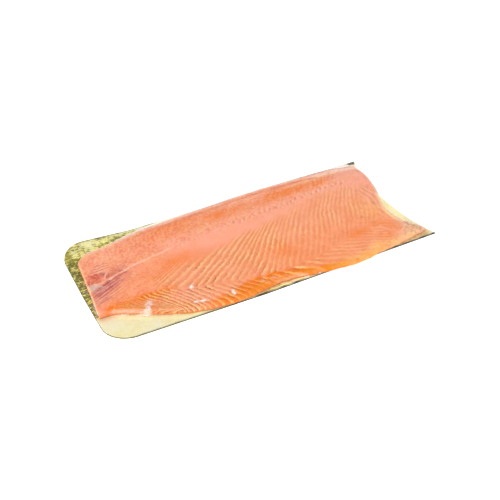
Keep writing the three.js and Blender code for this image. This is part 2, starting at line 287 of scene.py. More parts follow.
PALE_STROKES = [
    ([(-210, -1.5), (-200, 1.2), (-190, 3.2), (-180, 5.4), (-170, 8.2), (-160, 11.6), (-148, 12.0), (-134, 14.2),
      (-118, 15.8), (-100, 18.0)], 1.5, 0.95),
    ([(-204, 3.0), (-199, 7.5), (-195, 12.5), (-192, 17.0)], 1.2, 0.85),
    ([(-224, -24.2), (-214, -20.4), (-203, -16.4)], 0.9, 0.6),
    ([(-222, -15.0), (-212, -13.0), (-201, -9.4), (-190, -6.4), (-178, -3.5)], 1.0, 0.55),
    ([(-224, -30.3), (-213, -26.4), (-203, -23.4)], 1.0, 0.55),
    ([(-213, 20.4), (-200, 20.2), (-189, 20.4)], 0.8, 0.8),
    ([(-208, 25.0), (-198, 24.6), (-188, 25.2)], 0.9, 0.7),
    ([(-208, 29.3), (-198, 29.2), (-186, 28.8)], 0.8, 0.5),
    ([(-172, 62.0), (-168, 69.0)], 1.6, 0.7),
    ([(-163, 64.0), (-160, 70.0)], 1.4, 0.6),
    ([(-176, 66.0), (-174, 71.0)], 1.3, 0.5),
    ([(-163, 50.5), (-161, 48.5)], 1.5, 0.7),
    ([(-216, 1.0), (-212, 0.6)], 1.6, 0.8),
    ([(-199, 39.0), (-195, 50.0)], 1.2, 0.35),
    ([(-189, 42.0), (-186, 52.0)], 1.2, 0.3),
    ([(-206, 42.0), (-203, 50.0)], 1.2, 0.3),
    ([(190, 12.0), (196, -10.0), (193, -34.0), (200, -52.0)], 1.3, 0.7),
    ([(181, 16.0), (188, -8.0), (185, -34.0), (192, -54.0), (204, -70.0)], 1.1, 0.6),
    ([(172, 14.0), (180, -10.0), (177, -38.0), (184, -58.0)], 1.0, 0.5),
    ([(146, -63.0), (156, -67.0), (168, -66.0)], 1.1, 0.3),
    ([(158, -66.0), (172, -74.0), (182, -82.0)], 1.1, 0.35),
    ([(178, -86.0), (188, -83.0), (198, -77.0)], 1.2, 0.45),
    ([(184, -89.0), (196, -85.5), (208, -80.0)], 1.2, 0.5),
    ([(196, -90.0), (206, -87.0), (214, -83.0)], 1.1, 0.45),
    ([(186, -60.0), (196, -64.0), (204, -70.0)], 1.1, 0.4),
    ([(20, 60.0), (36, 66.0), (56, 66.0)], 1.6, 0.5),
    ([(2, 64.0), (18, 68.0), (34, 63.0)], 1.5, 0.4),
    ([(-27, -84.0), (-21, -88.0), (-17, -90.5)], 1.9, 0.8),
    ([(-12, -84.5), (-6, -88.0), (-1, -91.5)], 1.7, 0.75),
    ([(4, -88.0), (9, -91.0), (15, -93.5)], 2.0, 0.9),
    ([(22, -91.5), (28, -95.0), (35, -97.0)], 1.9, 0.85),
    ([(42, -95.5), (52, -99.0)], 1.4, 0.6),
    ([(192, 0.0), (198, -8.0), (201, -18.0)], 1.5, 0.5),
    ([(184, -8.0), (190, -14.0), (193, -22.0)], 1.3, 0.45),
    ([(176, 22.0), (172, 12.0), (166, 2.0)], 1.2, 0.3),
    ([(168, 20.0), (163, 10.0), (158, 0.0)], 1.2, 0.3),
]


def looks_of(x, y, u, v):
    """Every weight that the flesh's material reads, at a place in plan."""
    phase, above, tip = seams(x, y)
    wob = noise(x, y, 30, 21)
    top = through(UPPER_END, x) + 5 * noise(x, y, 16, 22)
    pin = through(PIN_LINE, x)
    edge = through(BELLY_EDGE, x)
    back = through(BACK_EDGE, x)
    near = y - edge

    upper = ease((top - y) / 14 + 0.5) * ease(above / 3)
    fade_tail = ease((x + 156) / 22)
    fade_head = 1 - ease((x - 160) / 34)
    right = ease((x + 40) / 90)
    mid = mix(1.0, 0.6, ease((x + 14) / 40) * ease((-38 - y) / 16))
    mid = mid * mix(1.0, 0.72, ease((-118 - x) / 26))
    stripe = upper * fade_tail * fade_head * mid * through([(-230, 1.0), (-30, 1.0), (0, 0.92), (35, 0.66), (80, 0.56), (110, 0.66), (150, 0.72), (230, 0.6)], x)
    # the faint seams of the back, above the line of pin bones
    stripe = stripe + 0.2 * ease((y - pin) / 9) * fade_head * ease((x + 120) / 60) * ease((back - 12 - y) / 14)
    # the lower arms
    lower = ease(-above / mix(8.0, 2.5, ease((x + 178) / 44))) * mix(1.0, 0.5, ease((x - 40) / 70))
    stripe = stripe + lower * ease((x + 214) / 16) * (1 - 0.5 * ease((x - 150) / 40))
    stripe = stripe * (1 - 0.15 * band(x, -214, -176, 16) * ease((-38 - y) / 6))
    stripe = stripe * (0.85 + 0.42 * noise(x, y, 11, 23)) * (0.92 + 0.22 * wob)
    stripe = stripe * (1 - 0.5 * ease((x - 10) / 60) * ease(0.45 + 0.9 * noise(x, y, 17, 34)))
    stripe = stripe * (1 - 0.5 * band(x, -66, 24, 24) * band(y, -80, -48, 10) * ease(0.55 + 1.1 * noise(x, y, 13, 61)))
    # how dark the flesh goes beside each pale seam
    shade = mix(0.95, 0.36, right) * (0.8 + 0.6 * noise(x, y, 7, 28))
    shade = shade * mix(0.8, 1.45, ease((-50 - y) / 12) * (1 - right))
    shade = shade + 0.75 * band(x, -214, -146, 20) * ease((-38 - y) / 6)

    rays = noise(x - 0.62 * y + 4 * noise(x, y, 15, 55), y * 0.22, 3.4, 56)
    deep = 1.5 * blob(x, y, 78, 50, 26, 11, 2) + 1.55 * blob(x, y, 128, 49, 20, 8, 8) + 0.7 * blob(x, y, 103, 50, 14, 8)
    deep = deep + 0.5 * blob(x, y, 62, 51, 14, 9)
    deep = deep + 0.85 * blob(x, y, -14, 50, 40, 9, 0) + 0.85 * blob(x, y, -84, 62, 44, 10, 3) + 0.35 * blob(x, y, -92, 44, 34, 10)
    deep = deep + 0.35 * blob(x, y, -110, 63, 12, 7, 3)
    deep = deep * (0.85 + 0.8 * rays + 0.25 * noise(x, y, 6, 57)) * 0.95
    deep = deep + 0.3 * blob(x, y, -80, -21, 18, 11, 10)
    deep = deep + 0.8 * blob(x, y, -108, -9, 28, 12, 14) + 0.5 * blob(x, y, -122, 50, 20, 12, 0)
    deep = deep + 0.35 * blob(x, y, 22, -52, 14, 18, 50) + 0.55 * blob(x, y, -161, -50, 14, 6, -24)
    deep = deep + 0.42 * blob(x, y, 124, -68, 15, 7) + 0.62 * blob(x, y, 188, -75, 11, 7) + 0.42 * blob(x, y, 166, -84, 14, 7)
    deep = deep + 0.2 * blob(x, y, 174, -40, 13, 10) + 0.16 * blob(x, y, 146, -16, 20, 12, 40)
    deep = deep + 0.42 * stroke(x, y, [(118, -66), (140, -66), (160, -62), (184, -66), (196, -74)], 6.0, 2.0, 58)
    deep = deep + 0.5 * blob(x, y, -162, 46, 5, 9, -8) + 0.35 * blob(x, y, -150, -24, 20, 14, 10)
    low_left = band(x, -218, -128, 12) * ease((-38 - y + 5 * noise(x, y, 12, 24)) / 9)
    low_left = low_left * (1 - 0.7 * ease((x + 184) / 20) * ease((-47 - y) / 10))
    deep = deep + 1.75 * low_left * (0.86 + 0.3 * noise(x, y, 15, 25)) * (1 - 0.5 * ease((x + 165) / 30))
    belly_band = ease((through([(-130, 6), (-90, 8), (-60, 15), (-36, 19), (-12, 13), (10, 10), (30, 9), (60, 7), (140, 5), (228, 4)], x)
                       + 3.5 * noise(x, y, 8, 29) - near) / 7 + 0.5)
    deep = deep + 1.6 * belly_band * band(x, -100, 60, 44)
    shade = shade + 0.6 * belly_band * band(x, -80, 90, 30)
    shade = shade * (1 + 0.15 * band(x, -208, -92, 16) * ease((-46 - y) / 6)) * (1 + 0.45 * belly_band * band(x, -60, 50, 24))
    deep = deep + 0.22 * ease((-22 - y) / 30) * ease((x + 34) / 50) * (1 - 0.6 * ease((x - 60) / 60))
    olive = ease((16 + 5 * noise(x, y, 16, 59) - near) / 12) * band(x, 92, 206, 34) * (0.9 + 0.4 * noise(x, y, 11, 60))
    olive = olive + 0.5 * blob(x, y, 172, -34, 18, 20)
    deep = deep + 0.12 * blob(x, y, 140, -45, 55, 18) + 0.14 * blob(x, y, -20, -35, 34, 16, 40) + 0.14 * blob(x, y, -55, -90, 20, 8)
    deep = deep * (0.92 + 0.25 * noise(x, y, 10, 26))
    # close streaks across the thin end of the belly
    comb = band(x, -205, -168, 18) * ease((-40 - y + 3 * noise(x, y, 9, 63)) / 10) * ease(near / 3)
    teeth = np.sin(((0.93 * x + y) / 5.3 + 0.5 * noise(x, y, 13, 62) + 0.18 * noise(x, y, 5, 64)) * 2 * np.pi)
    comb = comb * (0.75 + 0.5 * noise(x, y, 7, 65))
    deep = deep * mix(1.0, 0.8 + 0.34 * teeth, np.clip(comb, 0, 1))
    deep = deep + 0.6 * band(x, -219, -176, 12) * band(y, -51, -38, 7) * (0.8 + 0.5 * noise(x, y, 8, 66))

    pink = 0.9 * band(y, through([(-230, -15), (-140, -12), (-60, -8), (0, -2), (60, 8), (120, 22), (230, 20)], x),
                      pin + 14, 16) * ease((x + 128) / 30)
    pink = pink * (1 - 0.5 * blob(x, y, -100, -8, 26, 14))
    pink = pink + 0.8 * blob(x, y, 190, 34, 32, 32) + 0.6 * blob(x, y, -185, 40, 36, 26) + 0.4 * blob(x, y, -110, 32, 14, 10)
    pink = pink + 0.5 * blob(x, y, 30, 62, 34, 8, -6) + 0.35 * blob(x, y, 40, -38, 26, 12, 50)
    pink = pink + 0.3 * blob(x, y, 65, -42, 12, 14, 50) + 0.35 * blob(x, y, -215, -28, 18, 10)
    pink = pink + 0.35 * blob(x, y, -90, -42, 40, 18, 22) + 0.75 * blob(x, y, -108, -73, 28, 12, -20)
    pink = pink + 0.6 * blob(x, y, -142, -62, 26, 11, -24) + 0.25 * blob(x, y, -58, -52, 18, 10, 30)
    pink = pink + 0.5 * blob(x, y, -224, -44, 8, 8)
    pink = pink * (0.9 + 0.25 * noise(x, y, 14, 27))

    # blood line, bruised muscle and bared fat at the tail
    dark = np.zeros(x.shape)
    for k, (points, width, strength) in enumerate(DARK_STROKES):
        dark = np.maximum(dark, strength * stroke(x, y, points, width, 0.9, 101 + 2 * k))
    pale = np.zeros(x.shape)
    for k, (points, width, strength) in enumerate(PALE_STROKES):
        pale = np.maximum(pale, strength * stroke(x, y, points, width, 0.9, 201 + 2 * k))
    ribs = ((y - 0.40 * (x + 220)) / 4.4 + 0.35 * noise(x, y, 12, 94)) * 2 * np.pi
    fan = ease((-172 - x) / 30) * band(y, -36 + 0.3 * (x + 225), -9 + 0.4 * (x + 215), 7)
    dark = np.maximum(dark, 0.55 * fan * np.clip(np.sin(ribs), 0, 1) ** 1.5)
    pale = np.maximum(pale, 0.4 * fan * np.clip(-np.sin(ribs), 0, 1) ** 2)
    steep = ((x - 0.28 * y) / 6.2 + 0.4 * noise(x, y, 14, 95)) * 2 * np.pi
    slant = band(x, -216, -96, 30) * band(y, 27, 64, 12)
    pale = np.maximum(pale, 0.26 * slant * np.clip(np.sin(steep), 0, 1) ** 2 * (1 + 0.6 * noise(x, y, 9, 96)))
    dark = np.maximum(dark, 0.26 * comb * np.clip(teeth, 0, 1) ** 1.6)
    pale = np.maximum(pale, 0.22 * comb * np.clip(-teeth, 0, 1) ** 2)
    dark, pale = dark * (0.8 + 0.35 * noise(x, y, 3.4, 92)), pale * (0.85 + 0.3 * noise(x, y, 4.2, 93))
    bruise = 0.75 * blob(x, y, -200, 13, 6, 7, 0) + 0.5 * blob(x, y, -191, 6, 10, 5, 14) + 0.4 * blob(x, y, -180, 7, 10, 4, 14)
    bruise = bruise + 1.4 * blob(x, y, -207, -11, 16, 8, 20) + 0.5 * blob(x, y, -214, -26, 14, 8, 20)
    bruise = bruise + 0.4 * blob(x, y, -192, -6, 14, 7, 20) + 0.2 * blob(x, y, -200, 25, 16, 8, 0)
    bruise = bruise + 0.45 * blob(x, y, -184, 13, 18, 6, 6) + 0.45 * blob(x, y, -184, -5, 18, 8, 16)
    bruise = bruise * (0.85 + 0.5 * noise(x, y, 4.5, 31))
    red = band(y + 1.2 * noise(x, y, 5, 40), 4.8, 20.5, 4.0) * ease((-202.5 - x + 2.5 * noise(x, y, 5, 39)) / 5)
    red = red * (0.8 + 0.45 * noise(x, y, 4.2, 32))
    grey = band(y, -9, 3.5, 3.5) * ease((-206 - x - 0.9 * (y + 3)) / 6) * (0.9 + 0.3 * noise(x, y, 4, 33))

    # where the surface is more mottled: the tail, the line of pin bones and the back
    grain = 0.45 + 0.75 * ease((y - pin + 6) / 12) + 0.5 * ease((-110 - x) / 40) + 0.35 * ease((x - 140) / 30)
    grain = grain * (1 - 0.75 * band(y, -14, 13, 12) * band(x, -104, 60, 30)) * (1 - 0.4 * ease((x - 150) / 30))

    # pin bones: a dark point in a pale spot every few millimetres
    rng = np.random.default_rng(36)
    dots, spot = np.zeros(x.shape), np.zeros(x.shape)
    for k in range(33):
        cx = -106 + 8.5 * k + rng.uniform(-1.6, 1.6)
        firm = float(ease((cx + 60) / 70)) * 0.85 + 0.2
        cy = float(through(PIN_LINE, np.array(cx))) + rng.uniform(-1, 1) * (2.2 if cx > 0 else 4.5) + 2.0
        if cx > 168:
            continue
        firm = firm * rng.uniform(0.55, 1.1)
        small = 0.55 + 0.45 * float(ease((cx + 50) / 60))
        dots = np.maximum(dots, firm * blob(x, y, cx, cy, small * rng.uniform(2.2, 3.6), small * rng.uniform(1.0, 1.5), 62))
        spot = np.maximum(spot, firm * 0.7 * blob(x, y, cx + rng.uniform(2.6, 4.4), cy + rng.uniform(0, 2), 3.2, 1.5, 60))
    for k in range(90):
        cx, off = rng.uniform(-150, 168), rng.normal(0, 7.5)
        cy = float(through(PIN_LINE, np.array(cx))) + 4 + off
        firm = rng.uniform(0.15, 0.5) * math.exp(-(off / 14) ** 2)
        dots = np.maximum(dots, firm * blob(x, y, cx, cy, rng.uniform(1.2, 3.0), rng.uniform(0.8, 1.4), rng.uniform(40, 80)))
        spot = np.maximum(spot, firm * blob(x, y, cx + 2.4, cy - 0.5, rng.uniform(1.4, 3.0), 1.2, rng.uniform(40, 80)))

    # skin fat along the back edge, the collar and the tail cut
    rim_wide = through([(-217, 8), (-185, 11), (-150, 13), (-60, 13.5), (60, 13.5), (120, 15), (150, 21), (221, 22)], x)
    depth = back - y
    rim = ease((rim_wide - depth + 1.6 * noise(x, y * 0, 9, 41) + 0.9 * noise(x, y, 4, 45)) / 4.5)
    rim = rim * (0.82 + 0.25 * noise(x, y, 6, 46)) * mix(1.0, 0.3, ease((-150 - x) / 22))
    skirt = np.exp(-((depth - rim_wide - 2.4) / 2.2) ** 2) * (0.6 + 0.5 * noise(x, y, 10, 47)) * band(x, -136, 150, 30)
    ridge = ease((through([(-60, 6), (0, 11), (40, 8), (90, 8), (120, 11), (220, 12)], x) - depth + noise(x, y * 0, 6, 48)) / 2.5)
    ridge = ridge * through([(-60, 0), (-20, 0.5), (0, 0.75), (40, 0.3), (90, 0.35), (130, 0.9), (200, 0.8), (221, 0.5)], x)
    ridge = ridge * (0.85 + 0.3 * noise(x, y * 0, 7, 30))
    skirt = skirt + 0.75 * np.exp(-((depth - rim_wide - 1.2) / 1.8) ** 2) * band(x, 50, 170, 16) * (0.45 + 0.8 * noise(x, y * 0, 6, 35))
    head_gap = (1 - u) * 430
    tail_gap = u * 440
    wide = through([(-110, 3), (-80, 7), (-62, 12), (-42, 11.5), (-22, 10), (-6, 8), (14, 7.5), (30, 6), (60, 7), (90, 10)], y)
    collar = ease((wide + 1.8 * noise(y, y * 0, 7, 42) - head_gap) / 4.5) * (0.85 + 0.3 * noise(x, y, 4, 49))
    hem = np.exp(-((head_gap - 1.2) / 1.3) ** 2) * band(y, -2, 70, 12) * (0.6 + 0.6 * noise(y, y * 0, 8, 50))
    tip = np.clip(1.5 * blob(x, y, 212, -82, 19, 13, -16) + 0.6 * blob(x, y, 190, -93, 22, 6, 6), 0, 1)
    cut = ease((1.4 - tail_gap) / 1.0) * (0.6 + 0.4 * noise(y, y * 0, 9, 66))
    fringe = ease((7.5 + 3 * noise(x, y * 0, 10, 43) - near) / 4) * band(x, -70, 150, 40) * (0.9 + 0.4 * noise(x, y, 7, 38))
    streaks = np.clip(1.4 * rays, 0, 1) * ease((y - pin - 14) / 12) * ease((back - 12 - y) / 6) * ease((x + 190) / 40)
    # painted sheen: a pale band in the colour of fat along the belly edge, at the tail end and near the middle,
    # standing for the film's shine
    belly_edge_sheen = ease((1.9 + 0.9 * noise(x, y * 0, 8, 44) - near) / 1.4) * band(x, -214, -176, 8)
    belly_edge_sheen = belly_edge_sheen + 0.45 * ease((2.0 + 1.4 * noise(x, y * 0, 4, 44) - near) / 1.6) * band(x, -12, 30, 12)
    cream = blob(x, y, -186, 68, 26, 6, 4) + 0.6 * blob(x, y, -206, 62, 9, 6, 30)
    cream = cream + 0.8 * np.exp(-((y - 62.5 - 1.2 * noise(x, y * 0, 14, 54)) / 2.6) ** 2) * band(x, 92, 172, 20)
    return {
        "phase": phase, "stripe": np.clip(stripe, 0, 1.25), "shade": np.clip(shade, 0, 2.0),
        "deep": np.clip(deep, 0, 1.25), "olive": np.clip(olive, 0, 1), "grain": np.clip(grain, 0, 1.4), "pink": np.clip(pink, 0, 1), "bruise": np.clip(bruise, 0, 1),
        "red": np.clip(red, 0, 1), "grey": np.clip(grey, 0, 1), "dark": np.clip(dark, 0, 1),
        "pale": np.clip(np.maximum(pale, spot), 0, 1), "dots": np.clip(dots, 0, 1), "rim": np.clip(rim, 0, 1),
        "collar": np.clip(collar, 0, 1), "cut": np.clip(cut, 0, 1), "fringe": np.clip(fringe, 0, 1),
        "belly_sheen": np.clip(belly_edge_sheen, 0, 1), "cream": np.clip(cream, 0, 1), "skirt": np.clip(skirt, 0, 1),
        "hem": np.clip(hem, 0, 1), "tip": np.clip(tip, 0, 1), "ridge": np.clip(ridge, 0, 1),
        "streaks": np.clip(streaks, 0, 1),
    }


# ============================================================================
# Mesh helpers
# ============================================================================
def new_mesh(name, points_mm, faces, smooth=True):
    me = bpy.data.meshes.new(name)
    me.from_pydata((np.asarray(points_mm) / 1000.0).tolist(), [], faces)
    me.update()
    if smooth:
        me.polygons.foreach_set("use_smooth", [True] * len(me.polygons))
    o = bpy.data.objects.new(name, me)
    bpy.context.scene.collection.objects.link(o)
    return o


def attribute(o, name, values):
    a = o.data.attributes.new(name, "FLOAT", "POINT")
    a.data.foreach_set("value", np.asarray(values, np.float32).ravel())


def grid_faces(nu, nv, offset=0):
    i, j = np.meshgrid(np.arange(nu), np.arange(nv), indexing="ij")
    a = offset + i * (nv + 1) + j
    return np.stack([a, a + (nv + 1), a + (nv + 2), a + 1], -1).reshape(-1, 4)


def graded(start, middle, end, span):
    out = [d / span for d in start]
    a, b = start[-1] / span, 1 - end[-1] / span
    out += [a + (b - a) * i / middle for i in range(1, middle)]
    out += [1 - d / span for d in reversed(end)]
    return np.array(out)


# ============================================================================
# Fish
# ============================================================================
def relief(x, y, u, v, w):
    """Fine height over the smooth body, in mm: muscle blocks swell between their seams."""
    swell = 0.5 - 0.5 * np.cos(2 * np.pi * w["phase"])
    h = 0.26 * (swell - 0.6) * np.clip(w["stripe"], 0, 1)
    h = h + 0.45 * noise(x, y, 34, 51) + 0.16 * noise(x, y, 12, 52) + 0.05 * noise(x, y, 4, 53)
    h = h - 0.4 * w["dots"] - 0.35 * w["dark"] + 0.15 * w["pale"] - 0.3 * w["grey"]
    inner = ease(np.minimum(u * 440, (1 - u) * 430) / 8) * ease(np.minimum(v, 1 - v) * 165 / 7)
    return h * inner


def make_fish():
    us = graded([0, 0.35, 0.8, 1.3, 1.9, 2.8, 4], 388, [0, 0.4, 1.0, 1.8, 2.8, 4.0, 5.5, 7.2], 440)
    vs = graded([0, 0.3, 0.8, 1.4, 2.2, 3.2, 4.4], 180, [0, 0.3, 0.8, 1.5, 2.5, 3.8, 5.4, 7.2, 9.2, 11.4], 165)
    u, v = np.meshgrid(us, vs, indexing="ij")
    x, y = fish_plan(u, v)
    w = looks_of(x, y, u, v)
    # the outline of the flesh is a little ragged
    out = 1 - ease(np.minimum(np.minimum(u * 440, (1 - u) * 430), np.minimum(v, 1 - v) * 165) / 9)
    x = x + out * (0.5 * noise(y, x, 7, 61) + 0.25 * noise(y, x, 2.6, 62))
    y = y + out * (0.55 * noise(x, y, 8, 63) + 0.25 * noise(x, y, 2.8, 64))
    y = y + 5.0 * np.exp(-((x + 186.5) / 1.3) ** 2) * ease((v - 0.94) / 0.06)
    foot = board_top(x, y) + GAP
    z = foot + flesh(x, v, u) + relief(x, y, u, v, w)
    nu, nv = len(us) - 1, len(vs) - 1
    points = [np.stack([x, y, z], -1).reshape(-1, 3)]
    faces = grid_faces(nu, nv).tolist()
    # the boundary, in order round the outline
    ring = ([(i, 0) for i in range(nu)] + [(nu, j) for j in range(nv)]
            + [(i, nv) for i in range(nu, 0, -1)] + [(0, j) for j in range(nv, 0, -1)])
    index = np.array([i * (nv + 1) + j for i, j in ring])
    top = points[0][index]
    low = np.stack([top[:, 0], top[:, 1], board_top(top[:, 0], top[:, 1]) + GAP], -1)
    n = len(ring)
    mid = np.array([[i / nu, j / nv] for i, j in ring])
    inward = np.stack([0.5 - mid[:, 0], 0.5 - mid[:, 1]], -1)
    # outward direction in plan at each boundary vertex
    nxt, prv = np.roll(top[:, :2], -1, 0), np.roll(top[:, :2], 1, 0)
    tangent = nxt - prv
    normal = np.stack([tangent[:, 1], -tangent[:, 0]], -1)
    normal = normal / np.maximum(np.linalg.norm(normal, axis=1, keepdims=True), 1e-9)
    rows, previous = 7, index
    base = len(points[0])
    for r in range(1, rows + 1):
        t = r / rows
        p = mix(top, low, t)
        bulge = 0.9 * math.sin(math.pi * min(1, t * 1.05)) - 0.8 * max(0, t - 0.72) / 0.28
        ragged = 0.18 * noise(top[:, 0] + 40 * t, top[:, 1] - 31 * t, 2.2, 65)
        p[:, :2] += normal * (bulge * 0.5 + ragged)[:, None]
        points.append(p)
        now = base + np.arange(n)
        for k in range(n):
            m = (k + 1) % n
            faces.append([int(previous[m]), int(previous[k]), int(now[k]), int(now[m])])
        previous = now
        base += n
    # underside: a few columns of points lying just over the board
    where = {ij: int(previous[k]) for k, ij in enumerate(ring)}
    inside = [int(round(nv * f)) for f in (0.12, 0.3, 0.5, 0.7, 0.88)]
    bottom = []
    for i in range(1, nu):
        for j in inside:
            where[(i, j)] = base + len(bottom)
            bottom.append((x[i, j], y[i, j], board_top(x[i, j], y[i, j]) + GAP))
    points.append(np.array(bottom, float))
    stops = [0] + inside + [nv]
    for i in range(nu):
        for a, b in zip(stops, stops[1:]):
            left = [where[(i, j)] for j in ([a, b] if i > 0 else range(a, b + 1))]
            right = [where[(i + 1, j)] for j in ([a, b] if i + 1 < nu else range(a, b + 1))]
            faces.append(left + right[::-1])
    o = new_mesh("salmon_flesh", np.concatenate(points), faces)
    under = len(bottom)
    for name, value in w.items():
        flat = value.reshape(-1)
        attribute(o, name, np.concatenate([flat] + [flat[index]] * rows + [np.zeros(under)]))
    depth = np.concatenate([np.zeros(len(points[0]))] + [np.full(n, r / rows) for r in range(1, rows + 1)] + [np.ones(under)])
    attribute(o, "wall", depth)
    side = np.array([0 if j == 0 and 0 < i < nu else 1 if i == nu else 2 if j == nv else 3 for i, j in ring], float)
    is_cut = (side == 3) * 1.0
    attribute(o, "cutface", np.concatenate([np.zeros(len(points[0]))] + [is_cut] * rows + [np.zeros(under)]))
    is_skin = ((side == 2) | (side == 1)) * 1.0
    attribute(o, "skinface", np.concatenate([np.zeros(len(points[0]))] + [is_skin] * rows + [np.ones(under)]))
    is_near = (side == 0) * 1.0
    attribute(o, "nearface", np.concatenate([np.zeros(len(points[0]))] + [is_near] * rows + [np.zeros(under)]))
    return o


# ============================================================================
# Board
# ============================================================================
def make_board():
    nu, nv = 240, 130
    s = np.linspace(-1, 1, nv + 1)
    ys = W / 2 * np.sin(np.pi / 2 * np.sign(s) * np.abs(s) ** 0.82)
    t = np.linspace(0, 1, nu + 1)
    t, y = np.meshgrid(t, ys, indexing="ij")
    x = mix(board_tail(y), board_head(y), t)
    top = np.stack([x, y, curl(x, y) + TH], -1).reshape(-1, 3)
    bottom = np.stack([x, y, curl(x, y)], -1).reshape(-1, 3)
    ring = ([(i, 0) for i in range(nu)] + [(nu, j) for j in range(nv)]
            + [(i, nv) for i in range(nu, 0, -1)] + [(0, j) for j in range(nv, 0, -1)])
    index = np.array([i * (nv + 1) + j for i, j in ring])
    faces = grid_faces(nu, nv).tolist()
    n = len(top)
    faces += [[a + n for a in reversed(f)] for f in grid_faces(nu, nv).tolist()]
    points = [top, bottom]
    base = 2 * n
    nxt, prv = np.roll(top[index][:, :2], -1, 0), np.roll(top[index][:, :2], 1, 0)
    tangent = nxt - prv
    normal = np.stack([tangent[:, 1], -tangent[:, 0]], -1)
    normal = normal / np.maximum(np.linalg.norm(normal, axis=1, keepdims=True), 1e-9)
    # the cut edge: a thin foil lip above and below, and card that is a little rough between
    rows = [(0.0, 0.0), (0.1, 0.3), (0.25, 0.42), (0.5, 0.5), (0.75, 0.55), (0.92, 0.45), (1.0, 0.0)]
    previous = index
    for depth, out in rows[1:-1]:
        p = mix(top[index], bottom[index], depth)
        p[:, :2] += normal * (out - 0.1 + 0.04 * noise(p[:, 0], p[:, 1] + 50 * depth, 1.3, 73))[:, None]
        points.append(p)
        now = base + np.arange(len(index))
        for k in range(len(index)):
            m = (k + 1) % len(index)
            faces.append([int(previous[m]), int(previous[k]), int(now[k]), int(now[m])])
        previous = now
        base += len(index)
    for k in range(len(index)):
        m = (k + 1) % len(index)
        faces.append([int(previous[m]), int(previous[k]), int(index[k] + n), int(index[m] + n)])
    o = new_mesh("gold_board", np.concatenate(points), faces)
    e = np.zeros(sum(len(p) for p in points))
    e[2 * n:] = 1
    e[index] = 0.25
    e[index + n] = 0.25
    attribute(o, "edge", e)
    all_points = np.concatenate(points)
    px, py = all_points[:, 0], all_points[:, 1]
    upper = all_points[:, 2] > 0.9
    belly, spine = through(BELLY_EDGE, px), through(BACK_EDGE, px)
    # painted shade with some tarnish: darker olive foil in a strip beside the tail cut, a painted shadow of the fish
    # along its back edge and its tail cut, painted dark reflection in the far corner and a dark band along the far
    # outer edge
    strip = ease((-218 - px) / 5) * ease((py + 50) / 8) * mix(0.86, 1.0, ease((30 - py) / 40))
    far = 0.42 * ease((py - 52) / 12) * ease((-110 - px) / 60) * (1 + 0.6 * noise(px, py, 9, 78))
    # painted shadow: a dark line on the foil just past the fish's back edge, and another beside its tail cut
    painted_fish_shadow = 1.1 * np.exp(-((py - spine - 13.0) / 2.4) ** 2) * ease((-118 - px) / 16) * (0.75 + 0.6 * noise(px, py, 6, 74))
    painted_fish_shadow = painted_fish_shadow * mix(0.1, 1.0, ease((px + 198) / 20))
    painted_fish_shadow = painted_fish_shadow + 0.9 * ease((px - through(TAIL_CUT, py) + 4.6) / 2.6) * ease((-208 - px) / 4) * ease((py + 46) / 6) * ease((78 - py) / 12)
    outer = 0.8 * ease((px * 0 + 4.5 - (W / 2 - np.abs(py))) / 3) * ease((-120 - px) / 50) * (py > 0) * (0.6 + 0.6 * noise(px, py, 7, 75))
    attribute(o, "tarnish_and_painted_shade", np.clip(strip + far + painted_fish_shadow + outer, 0, 1) * upper)
    # painted shadow: browner gold where the belly flap lies close to the board's edge, beside the belly edge near the
    # middle, right under the near tail corner and along the belly edge beyond it
    painted_shadow = band(px, 150, 225, 8) * ease((-88 - py) / 4) * (0.75 + 0.5 * noise(px, py, 8, 76))
    painted_shadow = painted_shadow + 1.1 * band(px, -34, 14, 16) * ease((py - belly + 4.8) / 1.4) * (0.85 + 0.5 * noise(px, py * 0, 5, 37))
    painted_shadow = painted_shadow + 0.8 * np.exp(-((py - belly + 1.2) / 1.3) ** 2) * band(px, -199, -187, 5)
    painted_shadow = painted_shadow + 0.5 * np.exp(-((py - belly + 1.0) / 1.2) ** 2) * ease((px + 186) / 20) * ease((-120 - px) / 30)
    attribute(o, "painted_shadow", np.clip(painted_shadow, 0, 1) * upper)
    # painted shade: a dark band on the foil along the near cut edge, widest where the fish lies close to it, dark bands
    # along parts of the far edge and a dark corner at the far head end
    middle = band(px, -40, 42, 26)
    painted_edge_shade = ease((1.9 + 0.9 * middle - (W / 2 - np.abs(py))) / 0.8) * (py < 0)
    painted_edge_shade = painted_edge_shade * (0.55 + 0.45 * np.maximum(middle, ease((px - 140) / 40))) * (0.8 + 0.45 * noise(px, py * 0, 9, 77))
    painted_edge_shade = painted_edge_shade + 0.9 * ease((px - 214) / 9) * ease((py - 90) / 5)
    painted_edge_shade = painted_edge_shade + 0.85 * ease((1.8 - (W / 2 - py)) / 0.8) * mix(0.45, 1.0, ease((-84 - px) / 20)) * ease((34 - px) / 24) * (0.8 + 0.4 * noise(px, py * 0, 7, 79))
    painted_edge_shade = painted_edge_shade + 0.6 * ease((2.0 - (W / 2 - py)) / 0.8) * ease((px - 150) / 40) * ease((216 - px) / 8)
    # painted light: the foil gives off yellow light, as a painted reflection, in the narrow strip before the belly
    # edge, beside the near tail corner, in the far tail corner and at the hollowed head end
    painted_reflection = 0.8 * band(px, -92, 74, 30) * ease((belly - 0.2 - py) / 1.2) * (py < 0)
    painted_reflection = painted_reflection + 0.6 * np.exp(-((belly - py - 2) / 7) ** 2) * band(px, -208, -108, 24)
    painted_reflection = painted_reflection + 0.45 * ease((py - 60) / 14) * ease((-150 - px) / 24) * (0.8 + 0.5 * noise(px, py, 12, 19))
    painted_reflection = painted_reflection + 0.3 * ease((px - 186) / 8) * ease((64 + py) / 20) * (0.8 + 0.5 * noise(px, py, 8, 80))
    attribute(o, "painted_reflection", np.clip(painted_reflection, 0, 1) * upper)
